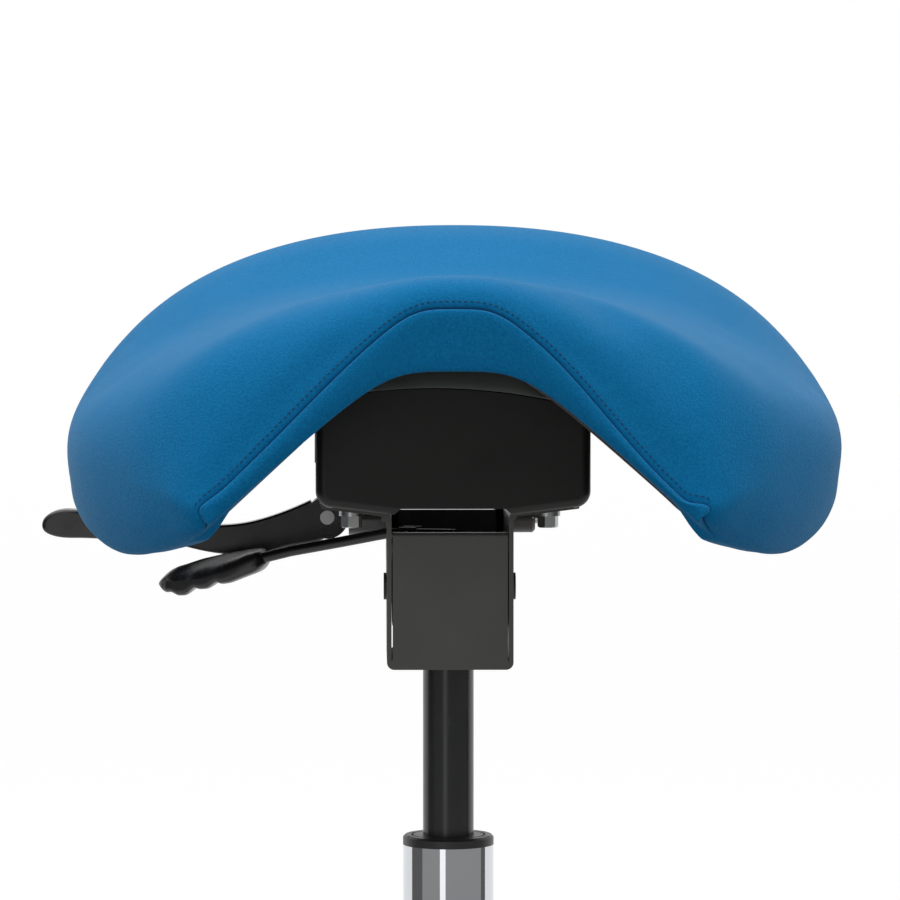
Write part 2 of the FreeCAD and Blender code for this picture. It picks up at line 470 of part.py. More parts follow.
def bracket():
    """Folded seat bracket: wings, cheeks, floor with its opening, and front plate with a lip."""
    body = new_body("seat_bracket")
    inner = "cheek_x - sheet"
    tight = "bend_r - sheet"
    slope = "wing_rise / (wing_end_x - cheek_x)"
    edge = [("0", "bracket_low"), ("cheek_x - bend_r", "bracket_low", "bend_r"),
            ("cheek_x", "bracket_low + bend_r"), ("cheek_x", f"wing_z - ({tight})", f"-({tight})"),
            (f"cheek_x + {tight}", f"wing_z + ({tight}) * {slope}"), ("wing_end_x", "wing_z + wing_rise"),
            ("wing_end_x + 1", "wing_z + wing_rise + wing_curl"),
            ("wing_end_x - 1.5", "wing_z + wing_rise + wing_curl + 1"),
            ("wing_end_x - 2.5", "wing_z + wing_rise + sheet"),
            (f"{inner} + bend_r", f"wing_z + sheet + bend_r * {slope}", "bend_r"),
            (inner, "wing_z + sheet - bend_r"),
            (inner, f"bracket_low + sheet + {tight}", f"-({tight})"),
            (f"{inner} - ({tight})", "bracket_low + sheet")]
    pad(body, "XZ_Plane", "bracket_front", "bracket_back", [mirrored(edge)])
    plate = f"{inner} - front_gap"
    sheet_top = [(f"-({plate})", "bracket_low + 1"), (plate, "bracket_low + 1"), (plate, "front_top"),
                 (f"-({plate})", "front_top")]
    pad(body, "XZ_Plane", "bracket_front", "bracket_front + sheet", [sheet_top])
    lip = [(f"-({plate})", "front_top - sheet"), (plate, "front_top - sheet")] + sheet_top[2:]
    pad(body, "XZ_Plane", "bracket_front", "bracket_front + front_lip", [lip])
    wide = "wing_end_x + 4"
    pocket(body, "XY_Plane", "bracket_low - 1", "bracket_low + sheet + 1",
           [[("-opening_half", "opening_front"), ("opening_half", "opening_front"),
             ("opening_half", "bracket_back + 1"), ("-opening_half", "bracket_back + 1")]])
    pocket(body, "YZ_Plane", f"-({wide})", wide,
           [[("floor_back", "bracket_low - 2"), ("bracket_back + 2", "bracket_low - 2"),
             ("bracket_back + 2", "clamp_z - 16"), ("bracket_back - 4", "clamp_z - 20"),
             ("floor_back", "bracket_low + 6")]])
    for low, high in (("cheek_x + 0.001", wide), (f"-({wide})", "-cheek_x - 0.001")):
        pocket(body, "XY_Plane", "wing_z - 3", "wing_z + 16",
               [[(low, "wing_back"), (high, "wing_back"), (high, "bracket_back + 2"),
                 (low, "bracket_back + 2")]])
    pocket(body, "YZ_Plane", "-(cheek_x + 1)", "-(cheek_x - sheet - 1)",
           [[("window_front", "window_low"), ("window_back", "window_low"), ("window_back", "window_high"),
             ("window_front", "window_high")]])
    pocket(body, "YZ_Plane", f"-({wide})", wide,
           [("circle", "axle_y", "axle_z", "pivot_r + slide_gap"),
            ("circle", "clamp_y", "clamp_z", "tie_r + 0.25")])
    doc.recompute()
    front, top = num("bracket_front"), num("front_top")
    shape = body.Shape
    fold = [e for e in shape.Edges
            if abs(e.CenterOfMass.y - front) < 0.01 and abs(e.CenterOfMass.z - top) < 0.01]
    shape = shape.makeFillet(num("sheet") - 0.3, fold)
    for spot in bolt_places():
        hole = Part.makeCylinder(num("bolt_r + 0.3"), 30, spot - V(0, 0, 15))
        shape = shape.cut(hole)
    PARTS.remove(body)
    body.Label = "bracket_blank"
    shaped("seat_bracket", shape)


def bolt_places():
    """The middle of each bolt's hole on the wing's lower face."""
    z = num("wing_z + wing_rise * (bolt_x - cheek_x) / (wing_end_x - cheek_x)")
    return [V(side * num("bolt_x"), num(y), z) for side in (-1, 1) for y in ("-bolt_y", "bolt_y")]


def bolts():
    """Hex bolts, wedge washers that level the sloping wing, and threaded inserts."""
    groups = {"bolt_washers": [], "seat_bolts": [], "threaded_inserts": []}
    across = num("bolt_flats") / math.sqrt(3)
    angles = [math.radians(60 * i + 12) for i in range(7)]
    corners = [V(across * math.cos(a), across * math.sin(a), 0) for a in angles]
    thick, head, radius = num("washer_thick"), num("bolt_head"), num("bolt_r")
    washer_r, long, deep = num("washer_r"), num("bolt_len"), num("insert_len")
    slope = num("wing_rise / (wing_end_x - cheek_x)")
    reach = washer_r + 1
    for spot in bolt_places():
        rise = math.copysign(slope * reach, spot.x)
        above = Part.makePolygon([V(-reach, -reach, -rise), V(reach, -reach, rise), V(reach, -reach, 9),
                                  V(-reach, -reach, 9), V(-reach, -reach, -rise)])
        washer = Part.makeCylinder(washer_r, thick + 3, V(0, 0, -thick))
        washer = washer.cut(Part.Face(above).extrude(V(0, 2 * reach, 0)))
        washer = washer.cut(Part.makeCylinder(radius, thick + 4, V(0, 0, -thick)))
        block = Part.Face(Part.makePolygon(corners)).extrude(V(0, 0, head))
        cone = Part.makeCone(across - 1.0, across + 3.0, head * 0.5, V(0, 0, 0))
        dome = cone.fuse(Part.makeCylinder(across + 3.0, head * 0.5, V(0, 0, head * 0.5)))
        block = block.common(dome)
        block.translate(V(0, 0, -thick - head))
        bolt = block.fuse(Part.makeCylinder(radius, long + thick, V(0, 0, -thick)))
        insert = Part.makeCylinder(num("insert_r"), deep, V(0, 0, long - deep))
        insert = insert.cut(Part.makeCylinder(radius, deep + 1, V(0, 0, long - deep - 1)))
        for name, piece in (("bolt_washers", washer), ("seat_bolts", bolt), ("threaded_inserts", insert)):
            piece.translate(spot)
            groups[name].append(piece)
    return groups


def clamp():
    """Clamp rod with its eye, springs, nut, spacer, pin, and the tilt lever on it."""
    body = new_body("tie_rod")
    pad(body, "YZ_Plane", "cam_x", "tie_end", [("circle", "clamp_y", "clamp_z", "tie_r")])
    pad(body, "XZ_Plane", "clamp_y - eye_half", "clamp_y + eye_half",
        [("circle", "cam_x", "clamp_z", "eye_r")])
    pocket(body, "XZ_Plane", "clamp_y - cam_half", "clamp_y + cam_half",
           [("circle", "cam_x", "clamp_z", "cam_pin_r")])
    cross_ring("disc_springs", "tie_r", "spring_r", "cheek_x", "cheek_x + spring_len", "clamp_y", "clamp_z")
    bevel, radius, right = num("nut_bevel"), num("nut_r"), V(1, 0, 0)
    foot = V(num("cheek_x + spring_len"), num("clamp_y"), num("clamp_z"))
    long = num("nut_end") - foot.x - bevel
    sleeve = Part.makeCylinder(radius, long, foot, right)
    sleeve = sleeve.fuse(Part.makeCone(radius, radius - bevel, bevel, foot + right * long, right))
    sleeve = sleeve.cut(Part.makeCylinder(num("tie_r"), long + bevel, foot, right))
    shaped("tie_nut", sleeve.removeSplitter())
    cross_ring("cam_spacer", "tie_r + 0.3", "spacer_r", "cam_x + cam_r + 0.1", "-cheek_x", "clamp_y",
               "clamp_z")
    body = new_body("cam_pin")
    pad(body, "XZ_Plane", "clamp_y - cam_half - rim_out", "clamp_y + cam_half + rim_out",
        [("circle", "cam_x", "clamp_z", "cam_pin_r")])
    tilt_lever()


ARM_LINE = [(-9.5, 9.6), (-16.0, 6.6), (-26.0, 2.6), (-35.0, -0.4), (-45.0, -2.9), (-55.0, -4.2),
            (-66.0, -4.6), (-82.0, -4.8), (-97.0, -4.4), (-97.0, -13.0), (-84.0, -15.6), (-73.0, -18.4),
            (-62.0, -20.4),
            (-50.0, -21.6), (-40.0, -21.6), (-32.0, -19.6), (-22.0, -16.6), (-10.0, -14.6), (-2.0, -12.4)]
TIP_LINE = [(-88.0, -15.2), (-88.0, -3.6), (-100.0, -2.6), (-120.0, 0.2), (-138.0, 3.6), (-148.0, 4.6),
            (-156.0, 2.6), (-160.6, -2.0), (-160.6, -6.4), (-155.0, -10.2), (-140.0, -11.6), (-120.0, -12.6),
            (-102.0, -14.0)]


def moulded(line, low, high, soft, corners):
    """A plate between low and high along Y, smooth and soft-edged between the numbered corners."""
    start = V(num("cam_x"), low, num("clamp_z"))
    points = [start + V(x, 0, z) for x, z in line]
    points = points[corners[0]:] + points[:corners[0] + 1]
    stops = [c - corners[0] for c in corners] + [len(points) - 1]
    edges = []
    for a, b in zip(stops, stops[1:]):
        if b - a == 1:
            edges.append(Part.LineSegment(points[a], points[b]).toShape())
            continue
        curve = Part.BSplineCurve()
        curve.interpolate(points[a:b + 1])
        edges.append(curve.toShape())
    plate = Part.Face(Part.Wire(edges)).extrude(V(0, high - low, 0))
    curves = [e for e in plate.Edges if e.BoundBox.YLength < 0.01 and e.Length > 2 * (high - low)]
    return plate.makeFillet(soft, curves).Solids[0]


def tilt_lever():
    """Forked cam lever with raised hub rims, and its moulded tip."""
    y, half, hub = num("clamp_y"), num("cam_half"), V(num("cam_x"), 0, num("clamp_z"))
    radius, out, eye = num("cam_r"), num("rim_out"), num("eye_r") + 0.6
    along = V(0, 1, 0)
    fork = 2 * num("fork_half")
    gap = Part.makeBox(eye + radius + 4, fork, 4 * radius, hub + V(-eye, y - fork / 2, -2 * radius))
    pin = Part.makeCylinder(num("cam_pin_r + slide_gap"), 4 * half, hub + V(0, y - 2 * half, 0), along)
    boss = Part.makeCylinder(radius, 2 * (half + out), hub + V(0, y - half - out, 0), along)
    for low in (y - half - out, y + half):
        dish = Part.makeCylinder(radius - num("rim_w"), out, hub + V(0, low, 0), along)
        boss = boss.cut(dish)
    arm = moulded(ARM_LINE, y - num("arm_half"), y + num("arm_half"), num("arm_soft"), [0, 8, 9, 18])
    arm = arm.cut(Part.makeCylinder(radius - 1, 2 * radius, hub + V(0, y - radius, 0), along))
    arm = boss.fuse(arm).cut(gap).cut(pin)
    grip = moulded(TIP_LINE, y - half, y + half, 2 * num("arm_soft"), [0, 1])
    shaped("tilt_lever_arm", arm.removeSplitter())
    shaped("tilt_lever_grip", grip.cut(arm))


def height_lever():
    """Lever rod over the valve, its pivot pin and the paddle grip."""
    turn = -num("lever_turn")
    place = {"turn": turn}
    radius = num("lever_rod_r")
    bend, end, level = num("lever_bend_x"), num("lever_end_x"), num("lever_z")
    drop = level - num("lever_end_z")
    run = [V(num("lever_inner"), 0, level), V(bend, 0, level),
           V(bend + (end - bend) * 0.3, 0, level - drop * 0.28),
           V(bend + (end - bend) * 0.65, 0, level - drop * 0.59), V(end, 0, level - drop)]
    spine = smooth_path(run, 14.0)
    disc = Part.Wire(Part.makeCircle(radius, run[0], V(-1, 0, 0)))
    rod = Part.Wire(spine).makePipeShell([disc], True, False)
    pin_hole = Part.makeCylinder(num("lever_pin_r + slide_gap"), 4 * radius,
                                 V(num("lever_pin_x"), -2 * radius, num("lever_z")), V(0, 1, 0))
    rod = rod.cut(pin_hole)
    grip = grip_shape()
    grip = grip.cut(rod)
    for label, shape in (("height_lever_rod", rod), ("height_lever_grip", grip)):
        item = shaped(label, shape)
        item.Placement = FreeCAD.Placement(V(0, 0, 0), FreeCAD.Rotation(V(0, 0, 1), turn))
    body = new_body("lever_pivot_pin", **place)
    pad(body, "XZ_Plane", "-lug_half - 1", "lug_half + 1",
        [("circle", "lever_pin_x", "lever_z", "lever_pin_r")])


def smooth_path(points, radius):
    """Straight runs joined by tangent arcs."""
    edges, start = [], points[0]
    for before, corner, after in zip(points, points[1:], points[2:]):
        way_in, way_out = (corner - before).normalize(), (after - corner).normalize()
        turn = way_in.getAngle(way_out)
        cut = radius * math.tan(turn / 2)
        a, b = corner - way_in * cut, corner + way_out * cut
        middle = corner + (way_out - way_in).normalize() * (radius / math.cos(turn / 2) - radius)
        edges += [Part.LineSegment(start, a).toShape(), Part.Arc(a, middle, b).toShape()]
        start = b
    return edges + [Part.LineSegment(start, points[-1]).toShape()]


def grip_shape():
    """Paddle grip: a rounded teardrop plate that slopes down, with finger grooves below."""
    wide, thick, length = num("grip_wide"), num("grip_thick"), num("grip_in_x - grip_out_x")
    neck = wide / 6
    p = [V(0, neck, 0), V(-0.3 * length, 0.44 * wide, 0), V(-0.55 * length, 0.5 * wide, 0),
         V(-0.86 * length, 0.42 * wide, 0), V(-length, 0, 0), V(-0.86 * length, -0.42 * wide, 0),
         V(-0.55 * length, -0.5 * wide, 0), V(-0.3 * length, -0.44 * wide, 0), V(0, -neck, 0)]
    curve = Part.BSplineCurve()
    curve.interpolate(p)
    outline = Part.Face(Part.Wire([curve.toShape(), Part.LineSegment(p[-1], p[0]).toShape()]))
    paddle = outline.extrude(V(0, 0, -thick))
    rims = [e for e in paddle.Edges if e.BoundBox.ZLength < 0.01]
    paddle = paddle.makeFillet(num("grip_soft"), rims).Solids[0]
    groove_r, deep = num("groove_r"), num("groove_deep")
    for share in (0.46, 0.63, 0.80):
        spot = V(-share * length, -wide, deep - thick - groove_r)
        paddle = paddle.cut(Part.makeCylinder(groove_r, 2 * wide, spot, V(0, 1, 0)))
    slope = math.degrees(math.atan2(num("grip_drop"), length))
    tilt = FreeCAD.Rotation(V(0, 1, 0), -slope) * FreeCAD.Rotation(V(1, 0, 0), num("grip_roll"))
    paddle.Placement = FreeCAD.Placement(V(num("grip_in_x"), 0, num("lever_z - 14") + thick / 2), tilt)
    return paddle


SEAT_STATIONS = [
    # y, crest z, widest x, widest z, rim x, rim z, roundness of the flank
    (-160.0, 622.0, 122.0, 536.0, 119.0, 524.0, 1.30),
    (-150.0, 645.0, 139.0, 541.0, 131.0, 517.0, 1.35),
    (-120.0, 649.0, 161.0, 543.0, 148.0, 509.0, 1.45),
    (-80.0, 644.0, 184.0, 545.0, 168.0, 501.0, 1.60),
    (-40.0, 641.0, 202.0, 548.0, 190.0, 506.0, 1.72),
    (0.0, 641.0, 212.0, 551.0, 205.0, 521.0, 1.86),
    (50.0, 654.0, 214.0, 557.0, 208.0, 534.0, 2.00),
    (100.0, 674.0, 205.0, 565.0, 199.0, 547.0, 2.14),
    (145.0, 672.0, 175.0, 580.0, 169.0, 565.0, 2.14),
    (172.0, 656.0, 123.0, 598.0, 117.0, 586.0, 2.05),
    (185.0, 636.0, 72.0, 606.0, 66.0, 598.0, 2.00),
]


def seat_stations():
    """The stations stretched to the seat's present front, back and half width."""
    front = num("seat_front") / SEAT_STATIONS[0][0]
    back = num("seat_back") / SEAT_STATIONS[-1][0]
    across = num("seat_half") / max(s[2] for s in SEAT_STATIONS)
    return [(y * (front if y < 0 else back), top, wide * across, level, rim_x * across, rim_z, power)
            for y, top, wide, level, rim_x, rim_z, power in SEAT_STATIONS]


def both_halves(edges):
    """A closed wire from the lines and arcs of a right half and their mirror images."""
    kinds = {"line": Part.LineSegment, "arc": Part.Arc}
    right = [kinds[kind](*points).toShape() for kind, *points in edges]
    left = []
    for kind, *points in reversed(edges):
        left.append(kinds[kind](*[V(-p.x, p.y, p.z) for p in reversed(points)]).toShape())
    return Part.Wire(right + left)


def flank(station, part):
    """A point of the top surface: part 0 is on the crest and 1 at the widest line."""
    y, top, wide, level, _, _, power = station
    angle = part * math.pi / 2
    return V(wide * math.sin(angle) ** (2 / power), y, level + (top - level) * math.cos(angle) ** (2 / power))


def seat_section(station, shell):
    """Closed outline of the cushion or of the shell at one station."""
    y, top, wide, level, rim_x, rim_z, _ = station
    thick, lip, under = num("shell_thick"), num("rim_lip"), num("seat_under")
    flat = min(num("under_flat"), rim_x * 0.4)
    crest = min(under, top - 24.0)
    edge_x, edge_z = rim_x - lip, rim_z + 5.0
    if shell:
        right = [(V(0, y, crest), V(flat, y, crest)), (V(flat, y, crest), V(edge_x, y, edge_z)),
                 (V(edge_x, y, edge_z), V(edge_x + 3, y, edge_z + thick)),
                 (V(edge_x + 3, y, edge_z + thick), V(flat + 3, y, crest + thick)),
                 (V(flat + 3, y, crest + thick), V(0, y, crest + thick))]
        edges = [("line",) + pair for pair in right]
    else:
        f = [flank(station, part) for part in (0.0, 0.22, 0.45, 0.72, 1.0)]
        f[0].x = 0
        rim = V(rim_x, y, rim_z)
        bulge = V((wide + rim_x) / 2 + 1.2, y, (level + rim_z) / 2)
        inner = V(edge_x + 0.2, y, edge_z - 3.5)
        mid = thick / 2
        edges = [("arc", f[0], f[1], f[2]), ("arc", f[2], f[3], f[4]), ("arc", f[4], bulge, rim),
                 ("line", rim, inner), ("line", inner, V(edge_x, y, edge_z + mid)),
                 ("line", V(edge_x, y, edge_z + mid), V(flat + 1.5, y, crest + mid)),
                 ("line", V(flat + 1.5, y, crest + mid), V(0, y, crest + mid))]
    return both_halves(edges)


def seat():
    """Shell, foam cushion with its saddle shape, housing and the bolted pieces."""
    groups = bolts()
    stations = seat_stations()
    shell_stations = stations[1:-1]
    shell = Part.makeLoft([seat_section(s, True) for s in shell_stations], True, False)
    cushion = Part.makeLoft([seat_section(s, False) for s in stations], True, False)
    cushion = cushion.cut(shell)
    bolted = Part.makeCompound(groups["seat_bolts"] + groups["threaded_inserts"])
    outer = housing_shape()
    under = Part.makeLoft([under_section(s) for s in shell_stations], True, False)
    outer = outer.cut(under)
    shaped("seat_shell", shell.cut(bolted))
    shaped("seat_cushion", cushion.cut(bolted))
    shaped("support_housing", outer.cut(bolted))
    for name, pieces in groups.items():
        shaped(name, Part.makeCompound(pieces))


def under_section(station):
    """Everything above the shell's underside at one station."""
    y, top, _, _, rim_x, rim_z, _ = station
    flat = min(num("under_flat"), rim_x * 0.4)
    crest = min(num("seat_under"), top - 24.0)
    edge_x, edge_z = rim_x - num("rim_lip"), rim_z + 5.0
    crest, edge_z = crest - 0.2, edge_z - 0.2
    points = [V(0, y, crest), V(flat, y, crest), V(edge_x, y, edge_z), V(edge_x, y, 720), V(-edge_x, y, 720),
              V(-edge_x, y, edge_z), V(-flat, y, crest), V(0, y, crest)]
    return Part.makePolygon(points)


def housing_shape():
    """Open-bottomed cover with two lobes, a recess, a crowned brow, bolt bosses and a rear notch."""
    x, low, recess, lift = num("house_x"), num("house_low"), num("house_recess"), num("house_recess_z")
    front, back, wall = num("house_front"), num("house_back"), num("house_wall")
    top, corner = num("house_top") + 20, num("house_corner")
    aside = V(num("house_aside"), 0, 0)
    turn = math.radians(40)
    swell = V(x - corner * (1 - math.cos(turn)), front, low + 4 + corner * (1 - math.sin(turn)))
    edges = [("line", V(0, front, lift), V(recess, front, lift)),
             ("line", V(recess, front, lift), V(recess + 4, front, low)),
             ("line", V(recess + 4, front, low), V(x - corner, front, low + 4)),
             ("arc", V(x - corner, front, low + 4), swell, V(x, front, low + 4 + corner)),
             ("line", V(x, front, low + 4 + corner), V(x, front, top)),
             ("line", V(x, front, top), V(0, front, top))]
    body = Part.Face(both_halves(edges)).extrude(V(0, back - front, 0))
    rims = [e for e in body.Edges if e.BoundBox.YLength < 0.01 and abs(e.CenterOfMass.x) > recess + 3
            and abs(e.CenterOfMass.z - top) > 1 and abs(e.CenterOfMass.y - front) < 0.01]
    body = body.makeFillet(num("house_edge"), rims)
    hollow = Part.makeBox(2 * (x - wall), back - front - 2 * wall, top, V(wall - x, front + wall, low - 5))
    floor = Part.makeBox(2 * x, back - front, corner + 2, V(-x, front, low - 2))
    keep = Part.makeBox(2 * (x - corner), back - front, corner + 2, V(corner - x, front, low - 2))
    hollow = hollow.cut(floor.cut(keep))
    body.translate(aside)
    hollow.translate(aside)
    bosses = []
    for spot in bolt_places():
        side = math.copysign(1, spot.x)
        bosses.append(Part.makeCylinder(num("boss_wide"), 90, spot + V(0, 0, 3)))
        edge = side * x + aside.x
        rib_at = V(min(spot.x, edge), spot.y - wall / 2, spot.z + 6)
        bosses.append(Part.makeBox(abs(edge - spot.x), wall, 90, rib_at))
    kept = body.common(bosses[0].fuse(bosses[1:]))
    body = body.cut(hollow).fuse(kept).removeSplitter()
    deep = num("lug_deep")
    for at in (-x - deep, x - 1):
        body = body.fuse(Part.makeBox(1 + deep, 40, 40, V(at, 0, num("lug_low")) + aside))
    notch = num("house_notch")
    rise = num("house_notch_top") - low + 10
    body = body.cut(Part.makeBox(2 * notch, 4 * wall, rise, V(-notch, back - 2 * wall, low - 10)))
    return cut_for_wings(body.cut(above_brow()))


def above_brow():
    """Everything over the housing's front slope, whose lower edge is a shallow arc."""
    reach, front, deep = num("house_x") + 12, num("house_front"), num("house_brow_deep")
    rise = num("house_top - house_brow")
    sections = []
    for y, level in ((front - 1, num("house_brow") - rise / deep), (front + deep, num("house_top"))):
        middle = num("house_brow_x")
        ends = []
        for x in (-reach, middle, reach):
            ends.append(V(x, y, level - (x - middle) ** 2 / (2 * num("house_brow_r"))))
        over = [V(reach, y, level + 60), V(-reach, y, level + 60)]
        sections.append(Part.Wire([Part.Arc(*ends).toShape(), Part.LineSegment(ends[2], over[0]).toShape(),
                                   Part.LineSegment(over[0], over[1]).toShape(),
                                   Part.LineSegment(over[1], ends[0]).toShape()]))
    return Part.makeLoft(sections, True, True)


def cut_for_wings(body):
    """Take the wings' thickness and slope out of the housing's lower edge."""
    t = num("sheet")
    a, b = num("cheek_x"), num("wing_end_x")
    z, rise = num("wing_z"), num("wing_rise")
    for side in (-1, 1):
        points = [V(side * (a - t - 1), 0, z - 9), V(side * (b + 2.5), 0, z - 9),
                  V(side * (b + 2.5), 0, z + rise + 5.3), V(side * (b - 2), 0, z + rise + 5.1),
                  V(side * (b - 3), 0, z + rise + t + 0.2),
                  V(side * (a - t - 1), 0, z + t + 0.1)]
        points.append(points[0])
        block = Part.Face(Part.makePolygon(points)).extrude(V(0, num("wing_back - bracket_front") + 4, 0))
        block.translate(V(0, num("bracket_front") - 0.5, 0))
        body = body.cut(block)
    return body


column()
star()
for number, castor_turn in enumerate(castor_turns(), 1):
    castor(number, castor_turn)
carrier()
bracket()
clamp()
height_lever()
seat()
doc.recompute()

for item in doc.Objects:
    if "Invalid" in item.State or "Error" in item.State:
        raise RuntimeError(f"{item.Label} did not build: {item.State}")
os.makedirs("parts", exist_ok=True)
for item in PARTS:
    if item.Shape.isNull() or not item.Shape.isValid():
        raise RuntimeError(f"{item.Label} has no valid solid")
    item.Shape.exportStep(f"parts/{item.Label}.step")
print(len(PARTS), "sub-parts")
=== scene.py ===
# %% [markdown]
# A saddle stool, dressed for its portrait. The metal and plastic pieces arrive ready-made from
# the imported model, at their real size, and this lesson gives them their finishes. The soft seat
# is modelled here, because foam under a stretched cover has no flat faces or true arcs. So are
# the shell that it is stapled to, the strip under its rim and the handle of the height lever.

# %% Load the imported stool
import bpy
import json
import math
import numpy as np
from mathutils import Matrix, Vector
from mathutils.kdtree import KDTree


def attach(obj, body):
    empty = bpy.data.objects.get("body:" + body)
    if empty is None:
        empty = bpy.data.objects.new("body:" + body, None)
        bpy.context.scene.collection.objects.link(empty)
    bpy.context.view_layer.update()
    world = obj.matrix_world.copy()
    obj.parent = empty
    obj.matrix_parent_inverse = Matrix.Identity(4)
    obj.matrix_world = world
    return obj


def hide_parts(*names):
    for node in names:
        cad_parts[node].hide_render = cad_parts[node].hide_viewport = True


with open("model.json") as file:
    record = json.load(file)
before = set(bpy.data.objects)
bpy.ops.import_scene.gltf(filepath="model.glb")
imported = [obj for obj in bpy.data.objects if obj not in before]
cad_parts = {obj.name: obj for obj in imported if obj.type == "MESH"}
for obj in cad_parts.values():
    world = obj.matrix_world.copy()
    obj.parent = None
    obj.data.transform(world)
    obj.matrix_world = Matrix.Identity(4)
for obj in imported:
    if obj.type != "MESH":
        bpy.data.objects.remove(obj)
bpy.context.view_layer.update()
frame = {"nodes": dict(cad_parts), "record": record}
nodes = frame["nodes"]
scene = bpy.context.scene
MM = 0.001


# %% [markdown]
# Colours are written as ordinary screen values. Blender works in linear light, so each
# one goes through the same small conversion.

# %% Screen colours to linear light
def screen(red, green, blue):
    """A screen colour from 0 to 255 as a linear colour with alpha."""
    shares = [c / 255 for c in (red, green, blue)]
    linear = [(c / 12.92 if c < 0.0408 else ((c + 0.055) / 1.055) ** 2.4) for c in shares]
    return (*linear, 1.0)


# %% [markdown]
# The photograph was taken with a long lens from almost straight ahead, a touch to the lever
# side and looking down by about two degrees. A long lens keeps the column's sides parallel.

# %% Camera
CAMERA_AT = Vector((-42.7, -2497.6, 658.7)) * MM
CAMERA_LOOKS_AT = Vector((0.93, 0.0, 554.0)) * MM
LENS = 182.0

bpy.ops.object.select_all(action="DESELECT")
bpy.ops.object.camera_add(location=CAMERA_AT)
camera = bpy.context.object
camera.name = "portrait_camera"
camera.rotation_euler = (CAMERA_LOOKS_AT - CAMERA_AT).to_track_quat("-Z", "Y").to_euler()
camera.data.lens = LENS
camera.data.sensor_fit = "HORIZONTAL"
camera.data.sensor_width = 36.0
camera.data.clip_end = 60.0
scene.camera = camera

# %% [markdown]
# The backdrop is plain white. The world is white to the camera and in mirrors, while the light
# that it sheds is dimmer and comes mostly from above, as in a tent of white cloth.

# %% World
AMBIENT_TOP = 1.0
AMBIENT_FLOOR = 0.1


def any_ray(tree, path, kinds):
    """1 for a ray of any of these kinds, else 0."""
    total = path.outputs[kinds[0]]
    for kind in kinds[1:]:
        either = tree.nodes.new("ShaderNodeMath")
        either.operation = "MAXIMUM"
        tree.links.new(total, either.inputs[0])
        tree.links.new(path.outputs[kind], either.inputs[1])
        total = either.outputs[0]
    return total


world = bpy.data.worlds.new("white_tent")
scene.world = world
world.use_nodes = True
tree = world.node_tree
tree.nodes.clear()
out = tree.nodes.new("ShaderNodeOutputWorld")
mix = tree.nodes.new("ShaderNodeMixShader")
seen = tree.nodes.new("ShaderNodeBackground")
seen.inputs["Color"].default_value = (1, 1, 1, 1)
shed = tree.nodes.new("ShaderNodeBackground")
path = tree.nodes.new("ShaderNodeLightPath")
coords = tree.nodes.new("ShaderNodeTexCoord")
split = tree.nodes.new("ShaderNodeSeparateXYZ")
height = tree.nodes.new("ShaderNodeMapRange")
height.inputs["From Min"].default_value = -0.5
height.inputs["From Max"].default_value = 0.9
height.inputs["To Min"].default_value = AMBIENT_FLOOR
height.inputs["To Max"].default_value = AMBIENT_TOP
tree.links.new(coords.outputs["Generated"], split.inputs[0])
tree.links.new(split.outputs["Z"], height.inputs["Value"])
tree.links.new(height.outputs[0], shed.inputs["Strength"])
shown = any_ray(tree, path, ("Is Camera Ray", "Is Glossy Ray", "Is Transmission Ray"))
tree.links.new(shown, mix.inputs[0])
tree.links.new(shed.outputs[0], mix.inputs[1])
tree.links.new(seen.outputs[0], mix.inputs[2])
tree.links.new(mix.outputs[0], out.inputs[0])

# %% [markdown]
# The light comes from above, as from the ceiling of a studio: one large lamp a little to the
# lever side and behind, and a weaker one to the right. They stay large, so that shadows are soft.

# %% Lamps
def softbox(name, place, aim, size, watts):
    """A square area lamp that looks at a point."""
    bpy.ops.object.light_add(type="AREA", location=Vector(place))
    lamp = bpy.context.object
    lamp.name = name
    lamp.data.energy = watts
    lamp.data.size = size
    lamp.rotation_euler = (Vector(aim) - Vector(place)).to_track_quat("-Z", "Y").to_euler()
    return lamp


softbox("key_softbox", (-0.5, 0.1, 2.2), (0, 0, 0.6), 1.5, 14.0)
softbox("fill_softbox", (1.1, 0.2, 1.9), (0, 0, 0.6), 1.2, 3.0)

# %% [markdown]
# The floor is a pale sheet. To the camera it glows enough to read as white, and its diffuse
# part still takes the stool's shadow.

# %% Floor
bpy.ops.object.select_all(action="DESELECT")
bpy.ops.mesh.primitive_plane_add(size=40.0, location=(0, 0, 0))
floor = bpy.context.object
floor.name = "studio_floor"
sheet = bpy.data.materials.new("pale_sheet")
sheet.use_nodes = True
tree = sheet.node_tree
surface = tree.nodes["Principled BSDF"]
surface.inputs["Base Color"].default_value = (0.32, 0.32, 0.32, 1)
surface.inputs["Roughness"].default_value = 0.9
path = tree.nodes.new("ShaderNodeLightPath")
weaken = tree.nodes.new("ShaderNodeMath")
weaken.operation = "MULTIPLY"
weaken.inputs[1].default_value = 0.72
shown = any_ray(tree, path, ("Is Camera Ray", "Is Glossy Ray", "Is Transmission Ray"))
tree.links.new(shown, weaken.inputs[0])
surface.inputs["Emission Color"].default_value = (1, 1, 1, 1)
tree.links.new(weaken.outputs[0], surface.inputs["Emission Strength"])
floor.data.materials.append(sheet)

# %% [markdown]
# Chrome shows only what stands round it. A real studio has a dim front half behind the camera,
# with one bright gap, and a ring of curtain strips stands in for it. The strips are seen in
# reflections and nowhere else, and they shed no light.

